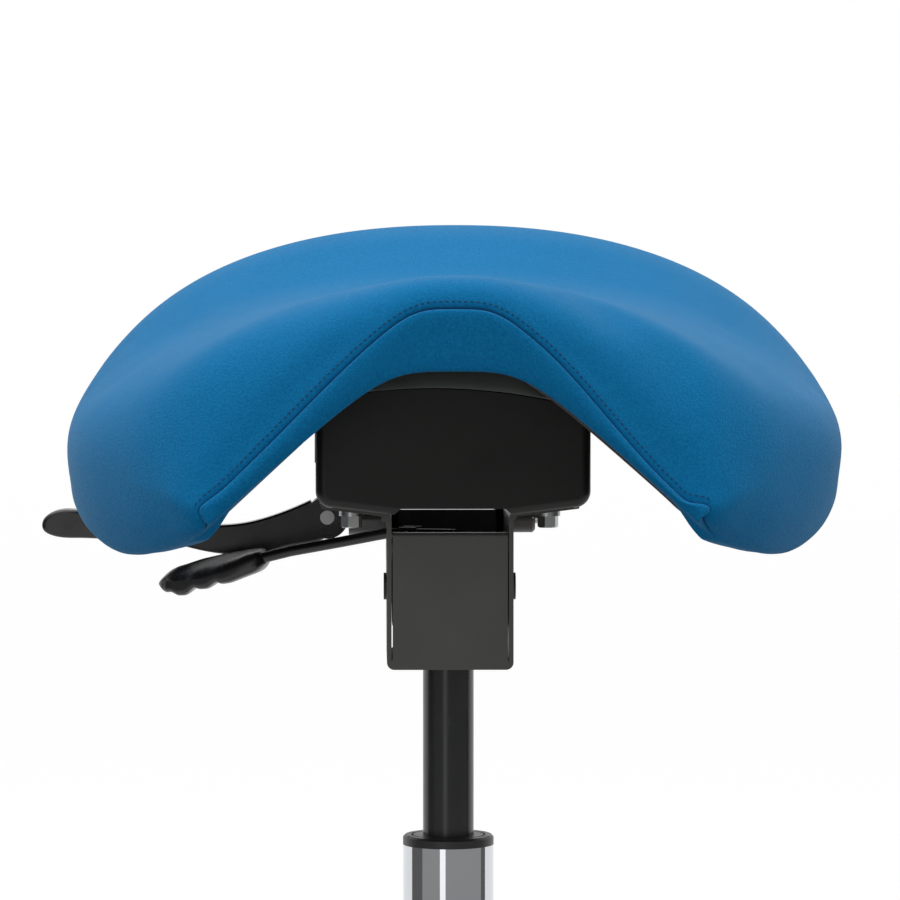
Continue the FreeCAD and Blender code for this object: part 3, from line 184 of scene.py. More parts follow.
# %% Curtain ring for the reflections
# Columns: bearing where a strip begins and ends, in degrees from straight ahead, and its colour.
CURTAIN_DARK = (70, 70, 70)
CURTAIN_DIM = (120, 120, 120)
CURTAIN_BRIGHT = (235, 235, 235)
CURTAIN = [
    (-106, -70, CURTAIN_DARK), (-70, -22, CURTAIN_DIM), (-22, -8, CURTAIN_BRIGHT),
    (-8, 90, CURTAIN_DIM), (90, 106, CURTAIN_DARK),
]
CURTAIN_FAR = 1.5
CURTAIN_HIGH = 1.5
CURTAIN_GAIN = 1.55

bpy.ops.object.select_all(action="DESELECT")
bpy.ops.mesh.primitive_cylinder_add(vertices=360, radius=CURTAIN_FAR, depth=CURTAIN_HIGH,
                                    end_fill_type="NOTHING", location=(0, 0, CURTAIN_HIGH / 2))
curtain = bpy.context.object
curtain.name = "curtain_ring"
for number, (first, last, colour) in enumerate(CURTAIN):
    strip = bpy.data.materials.new(f"curtain_{number}")
    strip.use_nodes = True
    surface = strip.node_tree.nodes["Principled BSDF"]
    surface.inputs["Base Color"].default_value = (0, 0, 0, 1)
    surface.inputs["Emission Color"].default_value = screen(*colour)
    surface.inputs["Emission Strength"].default_value = CURTAIN_GAIN
    curtain.data.materials.append(strip)
spare = []
for polygon in curtain.data.polygons:
    bearing = math.degrees(math.atan2(polygon.center.x, -polygon.center.y))
    match = [k for k, (first, last, colour) in enumerate(CURTAIN) if first <= bearing < last]
    if match:
        polygon.material_index = match[0]
    else:
        spare.append(polygon.index)
bpy.ops.object.mode_set(mode="EDIT")
bpy.ops.mesh.select_all(action="DESELECT")
bpy.ops.object.mode_set(mode="OBJECT")
for index in spare:
    curtain.data.polygons[index].select = True
bpy.ops.object.mode_set(mode="EDIT")
bpy.ops.mesh.select_mode(type="FACE")
bpy.ops.mesh.delete(type="FACE")
bpy.ops.object.mode_set(mode="OBJECT")
curtain.visible_camera = False
curtain.visible_diffuse = False
curtain.visible_shadow = False
curtain.visible_transmission = False
print("curtain ring of", len(curtain.data.polygons), "faces")


# %% [markdown]
# Every hard finish is the same small recipe: a base colour that wanders slightly, a roughness
# with fine variation, and a bump whose scale fits the real grain. The numbers differ.

# %% A recipe for hard finishes
def new_material(name):
    """A material with its node tree and its surface shader."""
    material = bpy.data.materials.new(name)
    material.use_nodes = True
    return material, material.node_tree, material.node_tree.nodes["Principled BSDF"]


def noise(tree, scale, detail=3.0, stretch=(1, 1, 1)):
    """A noise pattern on object coordinates, in repeats per metre."""
    coords = tree.nodes.new("ShaderNodeTexCoord")
    mapping = tree.nodes.new("ShaderNodeMapping")
    mapping.inputs["Scale"].default_value = stretch
    texture = tree.nodes.new("ShaderNodeTexNoise")
    texture.inputs["Scale"].default_value = scale
    texture.inputs["Detail"].default_value = detail
    tree.links.new(coords.outputs["Object"], mapping.inputs["Vector"])
    tree.links.new(mapping.outputs["Vector"], texture.inputs["Vector"])
    return texture.outputs["Fac"]


def ramp(tree, value, low, high):
    """The value 0.3 to 0.7 of a noise stretched to low and high."""
    node = tree.nodes.new("ShaderNodeMapRange")
    node.inputs["From Min"].default_value = 0.3
    node.inputs["From Max"].default_value = 0.7
    node.inputs["To Min"].default_value = low
    node.inputs["To Max"].default_value = high
    tree.links.new(value, node.inputs["Value"])
    return node.outputs["Result"]


def blend_colours(tree, value, first, second):
    """A colour that goes from first to second with value."""
    node = tree.nodes.new("ShaderNodeMix")
    node.data_type = "RGBA"
    tree.links.new(value, node.inputs["Factor"])
    node.inputs["A"].default_value = first
    node.inputs["B"].default_value = second
    return node.outputs["Result"]


def bump(tree, surface, value, depth, strength=1.0, before=None):
    """Small relief on the surface; depth is in metres."""
    node = tree.nodes.new("ShaderNodeBump")
    node.inputs["Strength"].default_value = strength
    node.inputs["Distance"].default_value = depth
    tree.links.new(value, node.inputs["Height"])
    if before is not None:
        tree.links.new(before, node.inputs["Normal"])
    tree.links.new(node.outputs["Normal"], surface.inputs["Normal"])
    return node.outputs["Normal"]


def hard_finish(name, dark, light, roughness, metal=0.0, grain=900.0, depth=0.00002,
                stretch=(1, 1, 1), shine=0.5):
    """A hard surface: two near colours, a roughness range and a fine grain."""
    material, tree, surface = new_material(name)
    patches = ramp(tree, noise(tree, 14.0), 0.0, 1.0)
    tree.links.new(blend_colours(tree, patches, dark, light), surface.inputs["Base Color"])
    surface.inputs["Metallic"].default_value = metal
    smears = ramp(tree, noise(tree, 60.0, 5.0, stretch), roughness[0], roughness[1])
    tree.links.new(smears, surface.inputs["Roughness"])
    bump(tree, surface, noise(tree, grain, 2.0, stretch), depth)
    surface.inputs["Specular IOR Level"].default_value = shine
    return material


finishes = {
    "shell_plastic": hard_finish("moulded_shell", screen(36, 36, 37), screen(46, 46, 47),
        (0.5, 0.62), grain=1400),
    "cover_plastic": hard_finish("cover_black", screen(12, 12, 10), screen(20, 20, 17),
        (0.3, 0.42), grain=1600, shine=0.3),
    "bracket_paint": hard_finish("powder_coat", screen(74, 75, 70), screen(86, 87, 82),
        (0.4, 0.5), grain=1100),
    "carrier_paint": hard_finish("carrier_coat", screen(30, 30, 30), screen(38, 38, 38),
        (0.4, 0.5), grain=1100),
    "zinc": hard_finish("zinc_plate", screen(150, 153, 152), screen(196, 198, 194),
        (0.24, 0.42), 1.0, grain=2200),
    "steel": hard_finish("bright_steel", screen(150, 150, 150), screen(190, 190, 188),
        (0.2, 0.34), 1.0),
    "lever_steel": hard_finish("lever_black", screen(14, 14, 15), screen(22, 22, 23), (0.25, 0.35)),
    "grip_plastic": hard_finish("grip_black", screen(32, 31, 32), screen(42, 41, 42),
        (0.22, 0.32), grain=1500),
    "lever_plastic": hard_finish("lever_plastic", screen(16, 16, 17), screen(24, 24, 26),
        (0.18, 0.28), grain=1500),
    "rod_black": hard_finish("rod_black", screen(32, 33, 33), screen(38, 39, 39),
        (0.2, 0.28), grain=1500),
    "chrome": hard_finish("chrome_plate", screen(208, 211, 214), screen(214, 217, 220),
        (0.03, 0.06), 1.0, depth=0.000002),
    "bush_plastic": hard_finish("cap_plastic", screen(16, 16, 17), screen(24, 24, 25),
        (0.35, 0.45), grain=1500),
    "nut_plastic": hard_finish("nut_sleeve", screen(46, 38, 34), screen(60, 50, 44),
        (0.35, 0.5), grain=1500),
    "rubber": hard_finish("bumper_rubber", screen(22, 22, 22), screen(30, 30, 30), (0.7, 0.8)),
    "base_metal": hard_finish("base_alloy", screen(205, 206, 208), screen(222, 223, 225),
        (0.16, 0.28), 1.0, grain=700),
    "castor_plastic": hard_finish("castor_body", screen(22, 22, 23), screen(30, 30, 31),
        (0.3, 0.42), grain=1500),
    "castor_tread": hard_finish("castor_tread", screen(28, 28, 29), screen(38, 38, 39),
        (0.5, 0.62), grain=1200),
}
slot_of = {row["node"]: row["material_slot"] for row in frame["record"]["subparts"]}
for name, node in nodes.items():
    if slot_of[name] in finishes:
        for material_slot in node.material_slots:
            material_slot.material = finishes[slot_of[name]]
print(len(finishes), "finishes on", len(nodes), "nodes")

# %% [markdown]
# The cover is a soft stretch cloth with a short felted pile. Close up it is a field of tiny
# tufts, so two scales of noise make the relief, and the colour is a little darker between tufts,
# as painted shade in the hollows of that relief. A sheen lightens the cloth where it turns away.

# %% Fleecy cloth
def fleece(name):
    """Blue stretch cloth with a short pile, with painted shade between tufts and along the seam."""
    material, tree, surface = new_material(name)
    tufts = noise(tree, 850.0, 4.0)
    fuzz = noise(tree, 2600.0, 3.0)
    patches = noise(tree, 9.0, 2.0)
    deep = blend_colours(tree, ramp(tree, patches, 0.0, 1.0), screen(4, 110, 168), screen(6, 116, 175))
    # Painted shade: the tuft noise that raises the pile also lightens its tips and darkens the hollows
    # between them.
    pale = tree.nodes.new("ShaderNodeMix")
    pale.data_type = "RGBA"
    tree.links.new(ramp(tree, tufts, 0.0, 1.0), pale.inputs["Factor"])
    tree.links.new(deep, pale.inputs["A"])
    pale.inputs["B"].default_value = screen(16, 132, 192)
    # Painted shade: the marked seam row is darkened, standing in for the shade in the sewn valley.
    sewn = tree.nodes.new("ShaderNodeAttribute")
    sewn.attribute_name = "seam"
    line = tree.nodes.new("ShaderNodeMix")
    line.data_type = "RGBA"
    tree.links.new(sewn.outputs["Fac"], line.inputs["Factor"])
    tree.links.new(pale.outputs["Result"], line.inputs["A"])
    line.inputs["B"].default_value = screen(4, 34, 74)
    tree.links.new(line.outputs["Result"], surface.inputs["Base Color"])
    surface.inputs["Roughness"].default_value = 0.92
    surface.inputs["Specular IOR Level"].default_value = 0.1
    surface.inputs["Sheen Weight"].default_value = 0.45
    surface.inputs["Sheen Roughness"].default_value = 0.36
    surface.inputs["Sheen Tint"].default_value = screen(190, 215, 238)
    first = bump(tree, surface, tufts, 0.0006, 0.6)
    bump(tree, surface, fuzz, 0.0003, 0.5, before=first)
    return material


cloth = fleece("blue_fleece")

# %% [markdown]
# The seat's shape is a row of cross-sections from the pommel to the back. Near the front each
# one is an arch with nearly straight flanks, like a gable with a rounded ridge. Further back it
# swells to half an ellipse. A section runs from the ridge down its flank, round the flap's
# lowest edge and a little way in under it.

# %% The seat's cross-sections
# Columns: place along the stool, ridge height, widest half and its height, rim half and height.
SEAT_ROWS = np.array([
    (-156, 634.5, 133, 531, 126, 521),
    (-152, 641.0, 139, 532, 130, 517),
    (-145, 646.5, 146, 535, 135, 513.5),
    (-135, 649.3, 153, 538, 141, 510.5),
    (-115, 648.3, 166, 541, 153, 506),
    (-90, 645.0, 180, 543, 166, 502),
    (-60, 642.0, 195, 545, 181, 502),
    (-30, 640.6, 206.5, 547, 196, 510),
    (0, 641.5, 213, 550, 206.5, 522),
    (30, 647.0, 214.5, 555, 209, 531),
    (60, 659.0, 213, 559, 207, 538),
    (90, 671.5, 208, 563, 202, 546),
    (115, 676.3, 199, 569, 193, 555),
    (140, 673.5, 179, 580, 173, 567),
    (160, 665.5, 150, 591, 144, 580),
    (175, 652.0, 114, 601, 108, 592),
    (184, 636.0, 66, 607, 60, 600),
], float)
SEAM_Y = -156.0
ARCH_BEND = 26.0
ARCH_POWER = 4.0
COLUMNS = 64
FINE = 90
FILL_REACH, FILL_POWER = 80.0, 3.2
FLANK_POWER, BACK_EXTRA, CANTLE_EXTRA = 1.9, 0.15, 0.13
CANTLE_FROM, CANTLE_REACH = 30.0, 90.0
# Near the front the right and left flaps differ: how much their rims rise and their seams sag.
FRONT_REACH = 55.0
RIM_RISE = {1: 5.0, -1: 1.0}
SEAM_SAG = {1: 10.0, -1: 2.5}
SAG_FROM, SAG_GROWS, SAG_TO, SAG_FADES = 45.0, 65.0, 118.0, 15.0


def rows_at(y):
    """The row of sizes at any place along the seat, on a smooth curve through the table."""
    places = SEAT_ROWS[:, 0]
    slopes = np.gradient(SEAT_ROWS[:, 1:], places, axis=0)
    i = int(np.clip(np.searchsorted(places, y) - 1, 0, len(places) - 2))
    gap = places[i + 1] - places[i]
    f = (y - places[i]) / gap
    a, b = SEAT_ROWS[i, 1:], SEAT_ROWS[i + 1, 1:]
    m, n = slopes[i] * gap, slopes[i + 1] * gap
    from_first = (2 * f**3 - 3 * f**2 + 1) * a + (f**3 - 2 * f**2 + f) * m
    from_second = (3 * f**2 - 2 * f**3) * b + (f**3 - f**2) * n
    return from_first + from_second


def ease(value):
    """A soft step from 0 to 1."""
    share = np.clip(value, 0, 1)
    return share * share * (3 - 2 * share)


def arch(x, top, bend, slope=1.0):
    """Height of a rounded gable at x."""
    return top - slope * bend * ((1 + (x / bend) ** ARCH_POWER) ** (1 / ARCH_POWER) - 1)


def resample(points, count):
    """The same line with evenly spaced points."""
    steps = np.r_[0, np.cumsum(np.linalg.norm(np.diff(points, axis=0), axis=1))]
    want = np.linspace(0, steps[-1], count)
    return np.column_stack([np.interp(want, steps, points[:, k]) for k in range(2)])


def half_section(y, side):
    """Points from the ridge to the rim at one place, evenly spaced, as x and z in mm."""
    top, wide, level, rim_x, rim_z = rows_at(y)
    front = 1 - ease((y - SEAM_Y) / FRONT_REACH)
    rim_z = rim_z + front * RIM_RISE[side]
    turn = np.linspace(0, math.pi / 2, FINE)
    share = 1 - (1 - np.clip((y - SEAM_Y) / FILL_REACH, 0, 1)) ** FILL_POWER
    power = FLANK_POWER + BACK_EXTRA * share + CANTLE_EXTRA * ease((y - CANTLE_FROM) / CANTLE_REACH)
    back_x = wide * np.sin(turn) ** (2 / power)
    back_z = level + (top - level) * np.cos(turn) ** (2 / power)
    front_x = np.linspace(0, wide, FINE)
    slope = (top - level) / (ARCH_BEND * ((1 + (wide / ARCH_BEND) ** ARCH_POWER) ** (1 / ARCH_POWER) - 1))
    front_z = arch(front_x, top, ARCH_BEND, slope)
    back = resample(np.column_stack([back_x, back_z]), FINE)
    front_line = resample(np.column_stack([front_x, front_z]), FINE)
    upper = (1 - share) * front_line + share * back
    sags = ease((upper[:, 0] - SAG_FROM) / SAG_GROWS) * (1 - ease((upper[:, 0] - SAG_TO) / SAG_FADES))
    upper[:, 1] -= SEAM_SAG[side] * front * sags
    under = np.linspace(0, math.pi / 2, 30)[1:]
    lower = np.column_stack([rim_x + (wide - rim_x) * np.cos(under),
                             level + (rim_z - level) * np.sin(under)])
    return resample(np.vstack([upper, lower]), COLUMNS)


# %% [markdown]
# In front, the flank ends in a seam. Below the seam a separate band of cloth closes the foam,
# 35 mm deep at the ridge and narrower on the flanks, down to the rim over the cover.

# %% The band under the front seam
RIM_TOP = 600.3
RIM_BEND = 39.0
RIM_SLOPE = 0.9
BAND_STEPS = (0, 0.07, 0.22, 0.4, 0.58, 0.74, 0.86, 0.94, 0.98)
BAND_BULGE = 3.0
SEAT_ASIDE = 3.6
SEAT_TURN = 0.0175


def rim_arch():
    """The front rim, with as many points as a half section."""
    x = np.linspace(0, SEAT_ROWS[0, 4], 200)
    z = arch(x, RIM_TOP, RIM_BEND, RIM_SLOPE)
    return resample(np.column_stack([x, z]), COLUMNS)


def whole(left, right, y):
    """Both halves of a row, from the left rim over the ridge to the right rim, in metres."""
    y = np.full(len(right), float(y))
    right = np.column_stack([right[:, 0], y, right[:, 1]])
    left = np.column_stack([-left[:, 0], y, left[:, 1]])[:0:-1]
    row = np.vstack([left, right])
    row[:, 0] += SEAT_ASIDE + SEAT_TURN * row[:, 1]
    return row * MM


def cushion_rows():
    """All rows of the cushion's outer surface, from the front rim back to the rear edge."""
    rim = rim_arch()
    seams = [half_section(SEAM_Y, side) for side in (-1, 1)]
    rows = []
    for f in BAND_STEPS:
        bulge = BAND_BULGE * math.sin(math.pi * f)
        left, right = [rim + (seam - rim) * f for seam in seams]
        rows.append(whole(left, right, SEAM_Y - 1.0 - bulge))
    last = SEAT_ROWS[-1, 0]
    near = SEAM_Y + np.array([0, 0.7, 1.6, 2.8, 4.5, 7, 10.5, 15])
    far = last - np.array([16, 10, 6, 3, 1, 0])
    along = np.r_[near, np.arange(SEAM_Y + 21, last - 20, 6.5), far]
    for y in along:
        rows.append(whole(half_section(y, -1), half_section(y, 1), y))
    return np.array(rows)


rows = cushion_rows()
print("seat surface", rows.shape, "rows and points")

# %% [markdown]
# The rows are skinned with quads. Underneath, the cover is drawn in round the rim and stapled
# to the moulded shell, so the hidden side follows the shell's own height: level in the middle,
# then falling to the flaps. Both sides meet all round, and the piece is closed like a real pad.

# %% Skin the cushion
SHELL_CREST = 600.0
SHELL_FLAT = 35.0
SHELL_MIDDLE = 4.5
HEM_DEEP = 14.0
BAND_COUNT = len(BAND_STEPS)


def under_row(row, index):
    """The hidden side under one row, as wide as the row's rim, in metres."""
    y = row[0, 1] / MM
    inside = float(np.clip(y, SEAM_Y + 3.0 + 1.5 * index, 179.0))
    top, wide, level, rim_x, rim_z = rows_at(inside)
    flat, crest = min(SHELL_FLAT, rim_x * 0.4), min(SHELL_CREST, top - 24.0)
    edge_x, edge_z = rim_x - HEM_DEEP, rim_z + 5.0
    share = np.linspace(-1, 1, len(row))
    half = np.abs(share) * (rim_x - 1.0)
    level = crest + SHELL_MIDDLE
    height = np.interp(half, [0, flat, edge_x, edge_x + 1.0, rim_x],
                       [level, level, edge_z + SHELL_MIDDLE, edge_z - 3.0, rim_z + 0.5])
    near = ease((index - 1) / BAND_COUNT)
    front = rows[0]
    x = np.sign(share) * half + SEAT_ASIDE + SEAT_TURN * inside
    z = (1 - near) * (front[:, 2] / MM + 1.5) + near * height
    x = (1 - near) * (front[:, 0] / MM - np.sign(share)) + near * x
    return np.column_stack([x, np.full(len(row), inside), z]) * MM


def skin(rows):
    """A closed mesh: the rows above, and the hidden side below."""
    count, across = rows.shape[:2]
    under = np.array([under_row(row, index) for index, row in enumerate(rows)])
    verts = np.vstack([rows.reshape(-1, 3), under.reshape(-1, 3)])
    size = count * across
    faces = []
    for i in range(count - 1):
        for j in range(across - 1):
            a = i * across + j
            quad = (a, a + 1, a + across + 1, a + across)
            faces.append(quad)
            faces.append(tuple(size + k for k in reversed(quad)))
    edge = list(range(across))
    edge += [i * across + across - 1 for i in range(1, count)]
    edge += [(count - 1) * across + j for j in range(across - 2, -1, -1)]
    edge += [i * across for i in range(count - 2, 0, -1)]
    for a, b in zip(edge, edge[1:] + edge[:1]):
        faces.append((b, a, size + a, size + b))
    mesh = bpy.data.meshes.new("seat_cover")
    mesh.from_pydata([tuple(v) for v in verts], [], faces)
    piece = bpy.data.objects.new("seat_cover", mesh)
    scene.collection.objects.link(piece)
    return piece


cushion = skin(rows)
print("cushion skin", len(cushion.data.vertices), "points")

# %% [markdown]
# A stretched cover swells where nothing holds it. A copy of the cushion, remeshed into even
# squares, runs through a short cloth simulation with a little air pressure and no gravity. How
# far it swells here more than there is then carried over to the drawn mesh, capped, and faded
# out at the seam and the rim, where sewing and staples hold the cover down.

# %% Swell the cover
SWELL_VOXEL = 0.006
SWELL_PRESSURE = 1.2
SWELL_FRAMES = 20
SWELL_CAP = 2.5 * MM
SWELL_FADE = 22.0 * MM
SEAM_ROW = BAND_COUNT


def only(piece):
    """Select one piece and nothing else."""
    bpy.ops.object.select_all(action="DESELECT")
    piece.select_set(True)
    bpy.context.view_layer.objects.active = piece


def coordinates(piece):
    """All points of a piece as an array."""
    points = np.empty(len(piece.data.vertices) * 3)
    piece.data.vertices.foreach_get("co", points)
    return points.reshape(-1, 3)


def swelling(piece):
    """Places and outward movement, in metres, of a simulated copy of the piece."""
    probe = bpy.data.objects.new("cover_probe", piece.data.copy())
    scene.collection.objects.link(probe)
    only(probe)
    squares = probe.modifiers.new("squares", "REMESH")
    squares.mode = "VOXEL"
    squares.voxel_size = SWELL_VOXEL
    bpy.ops.object.modifier_apply(modifier=squares.name)
    places = coordinates(probe)
    normals = np.array([vertex.normal[:] for vertex in probe.data.vertices])
    cover = probe.modifiers.new("cover", "CLOTH")
    cover.settings.use_pressure = True
    cover.settings.uniform_pressure_force = SWELL_PRESSURE
    cover.settings.effector_weights.gravity = 0.0
    for step in range(1, SWELL_FRAMES + 1):
        scene.frame_set(step)
    bpy.ops.object.modifier_apply(modifier=cover.name)
    outward = ((coordinates(probe) - places) * normals).sum(axis=1)
    scene.frame_set(1)
    bpy.data.objects.remove(probe)
    return places, outward


def swell(piece, free):
    """Carry the swelling over to the free points of a piece."""
    places, outward = swelling(piece)
    finder = KDTree(len(places))
    for k, place in enumerate(places):
        finder.insert(place, k)
    finder.balance()
    drawn = coordinates(piece)
    near = [[hit[1] for hit in finder.find_n(drawn[k], 12)] for k in free]
    rise = outward[np.array(near)].mean(axis=1)
    usual, most = float(np.median(rise)) / MM, float(rise.max()) / MM
    print("cover swells", round(usual, 2), "mm, most", round(most, 2), "mm")
    rise = SWELL_CAP * np.tanh((rise - np.median(rise)) / SWELL_CAP)
    sewn = drawn[SEAM_ROW * across:(SEAM_ROW + 1) * across]
    rims = np.vstack([drawn[:across], drawn[:outer_count:across], drawn[across - 1:outer_count:across]])
    fixed = np.vstack([sewn, rims])
    away = np.array([np.linalg.norm(fixed - drawn[k], axis=1).min() for k in free])
    normals = np.array([piece.data.vertices[k].normal[:] for k in free])
    drawn[free] += normals * (rise * ease(away / SWELL_FADE))[:, None]
    piece.data.vertices.foreach_set("co", drawn.ravel())
    piece.data.update()


outer_count = rows.shape[0] * rows.shape[1]
across = rows.shape[1]
swell(cushion, np.arange(outer_count))

# %% [markdown]
# Sewing pulls the two panels into a narrow valley. The points of the seam row go in by about a
# millimetre and their neighbours by less, and one round of subdivision smooths the whole.

# %% Draw in the seam
SEAM_PULL = {-2: 0.2, -1: 0.9, 0: 2.6, 1: 0.8, 2: 0.2}


def pull_seam(piece):
    """Move the rows beside the seam inwards, against their normals."""
    points = coordinates(piece)
    normals = np.array([vertex.normal[:] for vertex in piece.data.vertices])
    for offset, depth in SEAM_PULL.items():
        start = (SEAM_ROW + offset) * across
        inward = normals[SEAM_ROW * across:(SEAM_ROW + 1) * across]
        points[start:start + across] -= inward * depth * MM
    piece.data.vertices.foreach_set("co", points.ravel())
    piece.data.update()


pull_seam(cushion)
stitch_line = coordinates(cushion)[(SEAM_ROW + 2) * across:(SEAM_ROW + 3) * across]
# The seam row is marked for the cloth's painted shade along the sewn valley.
seam_shade_mask = cushion.data.attributes.new("seam", "FLOAT", "POINT")
for k in range(SEAM_ROW * across, (SEAM_ROW + 1) * across):
    seam_shade_mask.data[k].value = 1.0
only(cushion)
smooth = cushion.modifiers.new("smooth", "SUBSURF")
smooth.levels = smooth.render_levels = 1
bpy.ops.object.modifier_apply(modifier=smooth.name)
bpy.ops.object.shade_smooth()
cushion.data.materials.append(cloth)
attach(cushion, "seat")
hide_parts("seat_cushion")

# %% [markdown]
# A row of topstitches holds the seam allowance flat, two or three millimetres outside the seam.
# Each stitch is a short, slightly sunk capsule of thread, copied along the line.

# %% Topstitches
STITCH_PITCH = 3.2
STITCH_LONG = 2.1
STITCH_THICK = 0.36
STITCH_ENDS = 58


def stitches(line):
    """Capsules of thread along a line of points, as one mesh."""
    steps = np.r_[0, np.cumsum(np.linalg.norm(np.diff(line, axis=0), axis=1))] / MM
    starts = np.arange(1.0, steps[-1] - STITCH_LONG, STITCH_PITCH)
    sides, profile = 6, ((0.0, 0.35), (0.2, 0.9), (0.5, 1.0), (0.8, 0.9), (1.0, 0.35))
    verts, faces = [], []
    for start in starts:
        ends = [np.array([np.interp(at, steps, line[:, k]) for k in range(3)])
                for at in (start, start + STITCH_LONG)]
        along = Vector(ends[1] - ends[0]).normalized()
        outward = Vector((0.25 * along.z, -0.9, 0.6))
        outward = (outward - along * outward.dot(along)).normalized()
        aside = along.cross(outward)
        first = len(verts)
        for place, width in profile:
            centre = Vector(ends[0] + (ends[1] - ends[0]) * place) - outward * (1 - width) * 0.4 * MM
            for k in range(sides):
                turn = 2 * math.pi * k / sides
                spoke = aside * math.cos(turn) + outward * math.sin(turn)
                verts.append(centre + spoke * width * STITCH_THICK * MM)
        for ring in range(len(profile) - 1):
            for k in range(sides):
                a, b = first + ring * sides + k, first + ring * sides + (k + 1) % sides
                faces.append((a, b, b + sides, a + sides))
        faces.append(tuple(first + k for k in reversed(range(sides))))
        faces.append(tuple(first + (len(profile) - 1) * sides + k for k in range(sides)))
    mesh = bpy.data.meshes.new("seam_stitches")
    mesh.from_pydata([tuple(v) for v in verts], [], faces)
    piece = bpy.data.objects.new("seam_stitches", mesh)
    scene.collection.objects.link(piece)
    return piece


middle = across // 2
sewing = stitches(stitch_line[middle - STITCH_ENDS:middle + STITCH_ENDS + 1])
only(sewing)
bpy.ops.object.mode_set(mode="EDIT")
bpy.ops.mesh.select_all(action="SELECT")
bpy.ops.mesh.normals_make_consistent(inside=False)
bpy.ops.object.mode_set(mode="OBJECT")
thread = hard_finish("sewing_thread", screen(3, 62, 108), screen(6, 74, 122), (0.6, 0.8), grain=3000)
sewing.data.materials.append(thread)
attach(sewing, "seat")
print("stitches", len(sewing.data.polygons), "faces")

# %% [markdown]
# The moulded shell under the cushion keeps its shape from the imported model, but its front is
# scooped to the arch of the cover's front rim, so that from the front the cover's edge shows
# and not the plastic. It starts as a flat grid that is shaped by place and given a wall.

# %% Moulded shell
SHELL_WALL = 5.0
SHELL_FRONT, SHELL_BACK = -147.0, 172.0


def shell_height(x, y):
    """Height of the shell's lower face at a place, in mm."""
    top, wide, level, rim_x, rim_z = rows_at(y)
    flat, crest = min(SHELL_FLAT, rim_x * 0.4), min(SHELL_CREST, top - 24.0)
    edge_x = rim_x - HEM_DEEP
    straight = np.interp(abs(x), [0, flat, edge_x], [crest, crest, rim_z + 5.0])
    scoop = arch(abs(x), RIM_TOP + 1.5, RIM_BEND, RIM_SLOPE)
    return max(straight, min(scoop, straight + 9.0))


def shaped_grid(name, across_count, along_count, place, wall):
    """A grid whose points are set by place(u, v), with a wall thickness given upwards."""
    bpy.ops.object.select_all(action="DESELECT")
    bpy.ops.mesh.primitive_grid_add(x_subdivisions=across_count, y_subdivisions=along_count, size=1.0,
                                    location=(0, 0, 0))
    piece = bpy.context.object
    piece.name = piece.data.name = name
    for vertex in piece.data.vertices:
        vertex.co = Vector(place(vertex.co.x * 2, vertex.co.y + 0.5)) * MM
    thick = piece.modifiers.new("wall", "SOLIDIFY")
    thick.thickness = wall * MM
    thick.offset = 1.0
    bpy.ops.object.modifier_apply(modifier=thick.name)
    soft = piece.modifiers.new("soft", "BEVEL")
    soft.width = 0.2 * wall * MM
    soft.segments = 2
    soft.limit_method = "ANGLE"
    soft.angle_limit = math.radians(50)
    bpy.ops.object.modifier_apply(modifier=soft.name)
    bpy.ops.object.shade_smooth_by_angle(angle=math.radians(40))
    return piece


def shell_place(u, v):
    """A point of the shell; u runs from -1 to 1 across and v from 0 to 1 along."""
    y = SHELL_FRONT + (SHELL_BACK - SHELL_FRONT) * v
    x = u * (rows_at(y)[3] - HEM_DEEP - 1.0)
    return x + SEAT_TURN * y, y, shell_height(x, y)


shell = shaped_grid("seat_shell_scooped", 64, 48, shell_place, SHELL_WALL)
shell.data.materials.append(finishes["shell_plastic"])
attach(shell, "seat")
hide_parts("seat_shell")
print("shell", len(shell.data.polygons), "faces")

# %% [markdown]
# A lighter grey strip closes the gap between the housing's crowned top edge and the shell. Its light
# grey is painted highlight, standing in for light caught on the housing's rounded top edge.
# In the photograph it shows as a grey crescent under the cover's rim.

# %% Gap strip
HOUSE_FRONT, HOUSE_ASIDE = -75.0, 1.4
BROW_TOP, BROW_MIDDLE, BROW_RADIUS = 589.6, -10.0, 300.0
STRIP_DEEP = 9.0
STRIP_HALF = 71.0


def strip_place(u, v):
    """A point of the strip, which leans back from the brow to the shell."""
    x = u * STRIP_HALF
    brow = BROW_TOP - (x - BROW_MIDDLE) ** 2 / (2 * BROW_RADIUS) + 0.4
    top = max(shell_height(x, HOUSE_FRONT + STRIP_DEEP) - 0.6, brow + 0.5)
    lean = v ** 0.7
    return x + HOUSE_ASIDE, HOUSE_FRONT + 0.8 + STRIP_DEEP * v, brow + (top - brow) * lean


strip = shaped_grid("gap_strip", 40, 8, strip_place, 0.9)
# Painted highlight: the strip's light grey stands in for light caught along the housing's top edge.
painted_highlight_grey = hard_finish("painted_highlight_grey", screen(104, 110, 106), screen(132, 138, 132), (0.5, 0.7),
                          grain=500, stretch=(0.1, 1, 1))
strip.data.materials.append(painted_highlight_grey)
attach(strip, "seat")

# %% [markdown]
# The height lever's grip is a moulded handle: a flat top that leans towards the sitter, a
# thick side, and three finger bumps below. It starts as a grid that is rolled into a tube by
# place, with one rounded rectangle at each station; then its seam and ends are closed.

# %% Height grip
# Columns: place from the rod's end outwards, back edge of the top, front edge, and underside.
GRIP_ROWS = np.array([
    (0, 494.4, 492.4, 484.0), (5, 495.2, 492.8, 481.0), (12, 495.0, 490.5, 478.0),
    (20, 494.0, 486.8, 474.5), (25, 493.4, 484.6, 473.6), (28, 493.0, 483.3, 474.8),
    (33, 492.0, 481.6, 470.8), (38, 490.8, 480.2, 470.4), (41, 490.0, 479.4, 471.4),
    (46, 488.6, 478.0, 466.8), (51, 486.6, 477.4, 466.6), (55, 485.0, 477.6, 468.8),
    (59, 482.4, 477.6, 468.4), (62, 480.0, 477.2, 469.8), (64, 477.8, 476.2, 471.6),
], float)
GRIP_START = Vector((-99.0, 32.5))
GRIP_WAY = Vector((-1.0, 0.27)).normalized()
GRIP_WIDE = 27.0
GRIP_LIFT = 3.5
GRIP_END = 0.1
GRIP_CORNER = 0.6


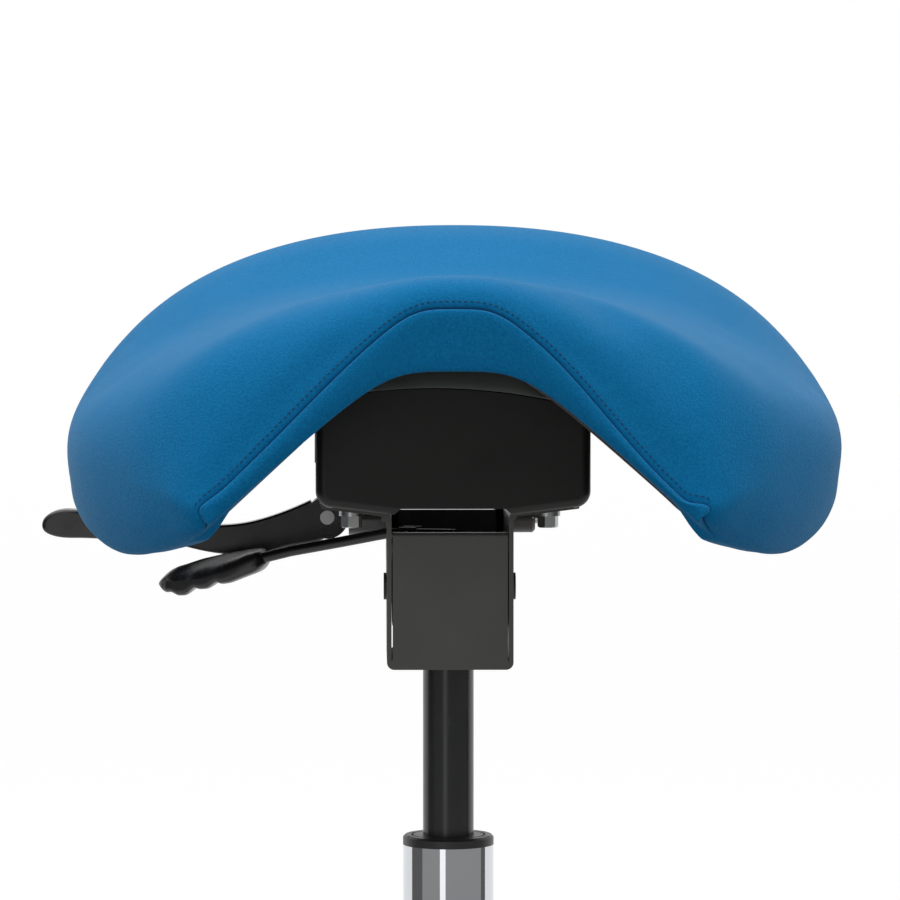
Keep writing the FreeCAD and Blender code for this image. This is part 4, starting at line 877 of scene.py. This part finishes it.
def grip_place(u, v):
    """A point of the grip; u runs once round the section and v from the rod's end outwards."""
    at = v * GRIP_ROWS[-1, 0]
    back, front, low = [np.interp(at, GRIP_ROWS[:, 0], GRIP_ROWS[:, k]) + GRIP_LIFT for k in (1, 2, 3)]
    turn = math.pi * u
    s, t = [math.copysign(abs(part) ** GRIP_CORNER, part) for part in (math.cos(turn), math.sin(turn))]
    inward = min(min(v, 1 - v) / GRIP_END, 1.0)
    ends = math.sqrt(1 - (1 - inward) ** 2)
    bulge = 0.55 + 0.45 * math.sin(math.pi * min(0.12 + v * 0.95, 1.0)) ** 0.6
    upper = (back + front) / 2 + s * (back - front) / 2
    lower = low + (s + 1) * 0.15 * (back - front)
    height = (upper + lower) / 2 + t * (upper - lower) / 2 * max(ends, 0.35)
    aside = s * GRIP_WIDE / 2 * bulge * max(ends, 0.3)
    normal = Vector((-GRIP_WAY.y, GRIP_WAY.x)) * -1.0
    spot = GRIP_START + GRIP_WAY * at + normal * aside
    return spot.x, spot.y, height


bpy.ops.object.select_all(action="DESELECT")
bpy.ops.mesh.primitive_grid_add(x_subdivisions=36, y_subdivisions=44, size=1.0, location=(0, 0, 0))
grip = bpy.context.object
grip.name = grip.data.name = "height_grip"
for vertex in grip.data.vertices:
    vertex.co = Vector(grip_place(vertex.co.x * 2, vertex.co.y + 0.5)) * MM
bpy.ops.object.mode_set(mode="EDIT")
bpy.ops.mesh.select_all(action="SELECT")
bpy.ops.mesh.remove_doubles(threshold=0.00002)
bpy.ops.mesh.select_all(action="DESELECT")
bpy.ops.mesh.select_mode(type="EDGE")
bpy.ops.mesh.select_non_manifold(extend=False, use_wire=False, use_boundary=True, use_multi_face=False,
                                 use_non_contiguous=False, use_verts=False)
bpy.ops.mesh.fill()
bpy.ops.mesh.select_all(action="SELECT")
bpy.ops.mesh.normals_make_consistent(inside=False)
bpy.ops.object.mode_set(mode="OBJECT")
round_off = grip.modifiers.new("round_off", "SUBSURF")
round_off.levels = round_off.render_levels = 1
bpy.ops.object.modifier_apply(modifier=round_off.name)
bpy.ops.object.shade_smooth_by_angle(angle=math.radians(50))
grip.data.materials.append(finishes["grip_plastic"])
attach(grip, "height_lever")
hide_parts("height_lever_grip")
print("grip", len(grip.data.polygons), "faces")

# %% [markdown]
# Last, the view transform is set to Standard.

# %% Finish
scene.view_settings.view_transform = "Standard"
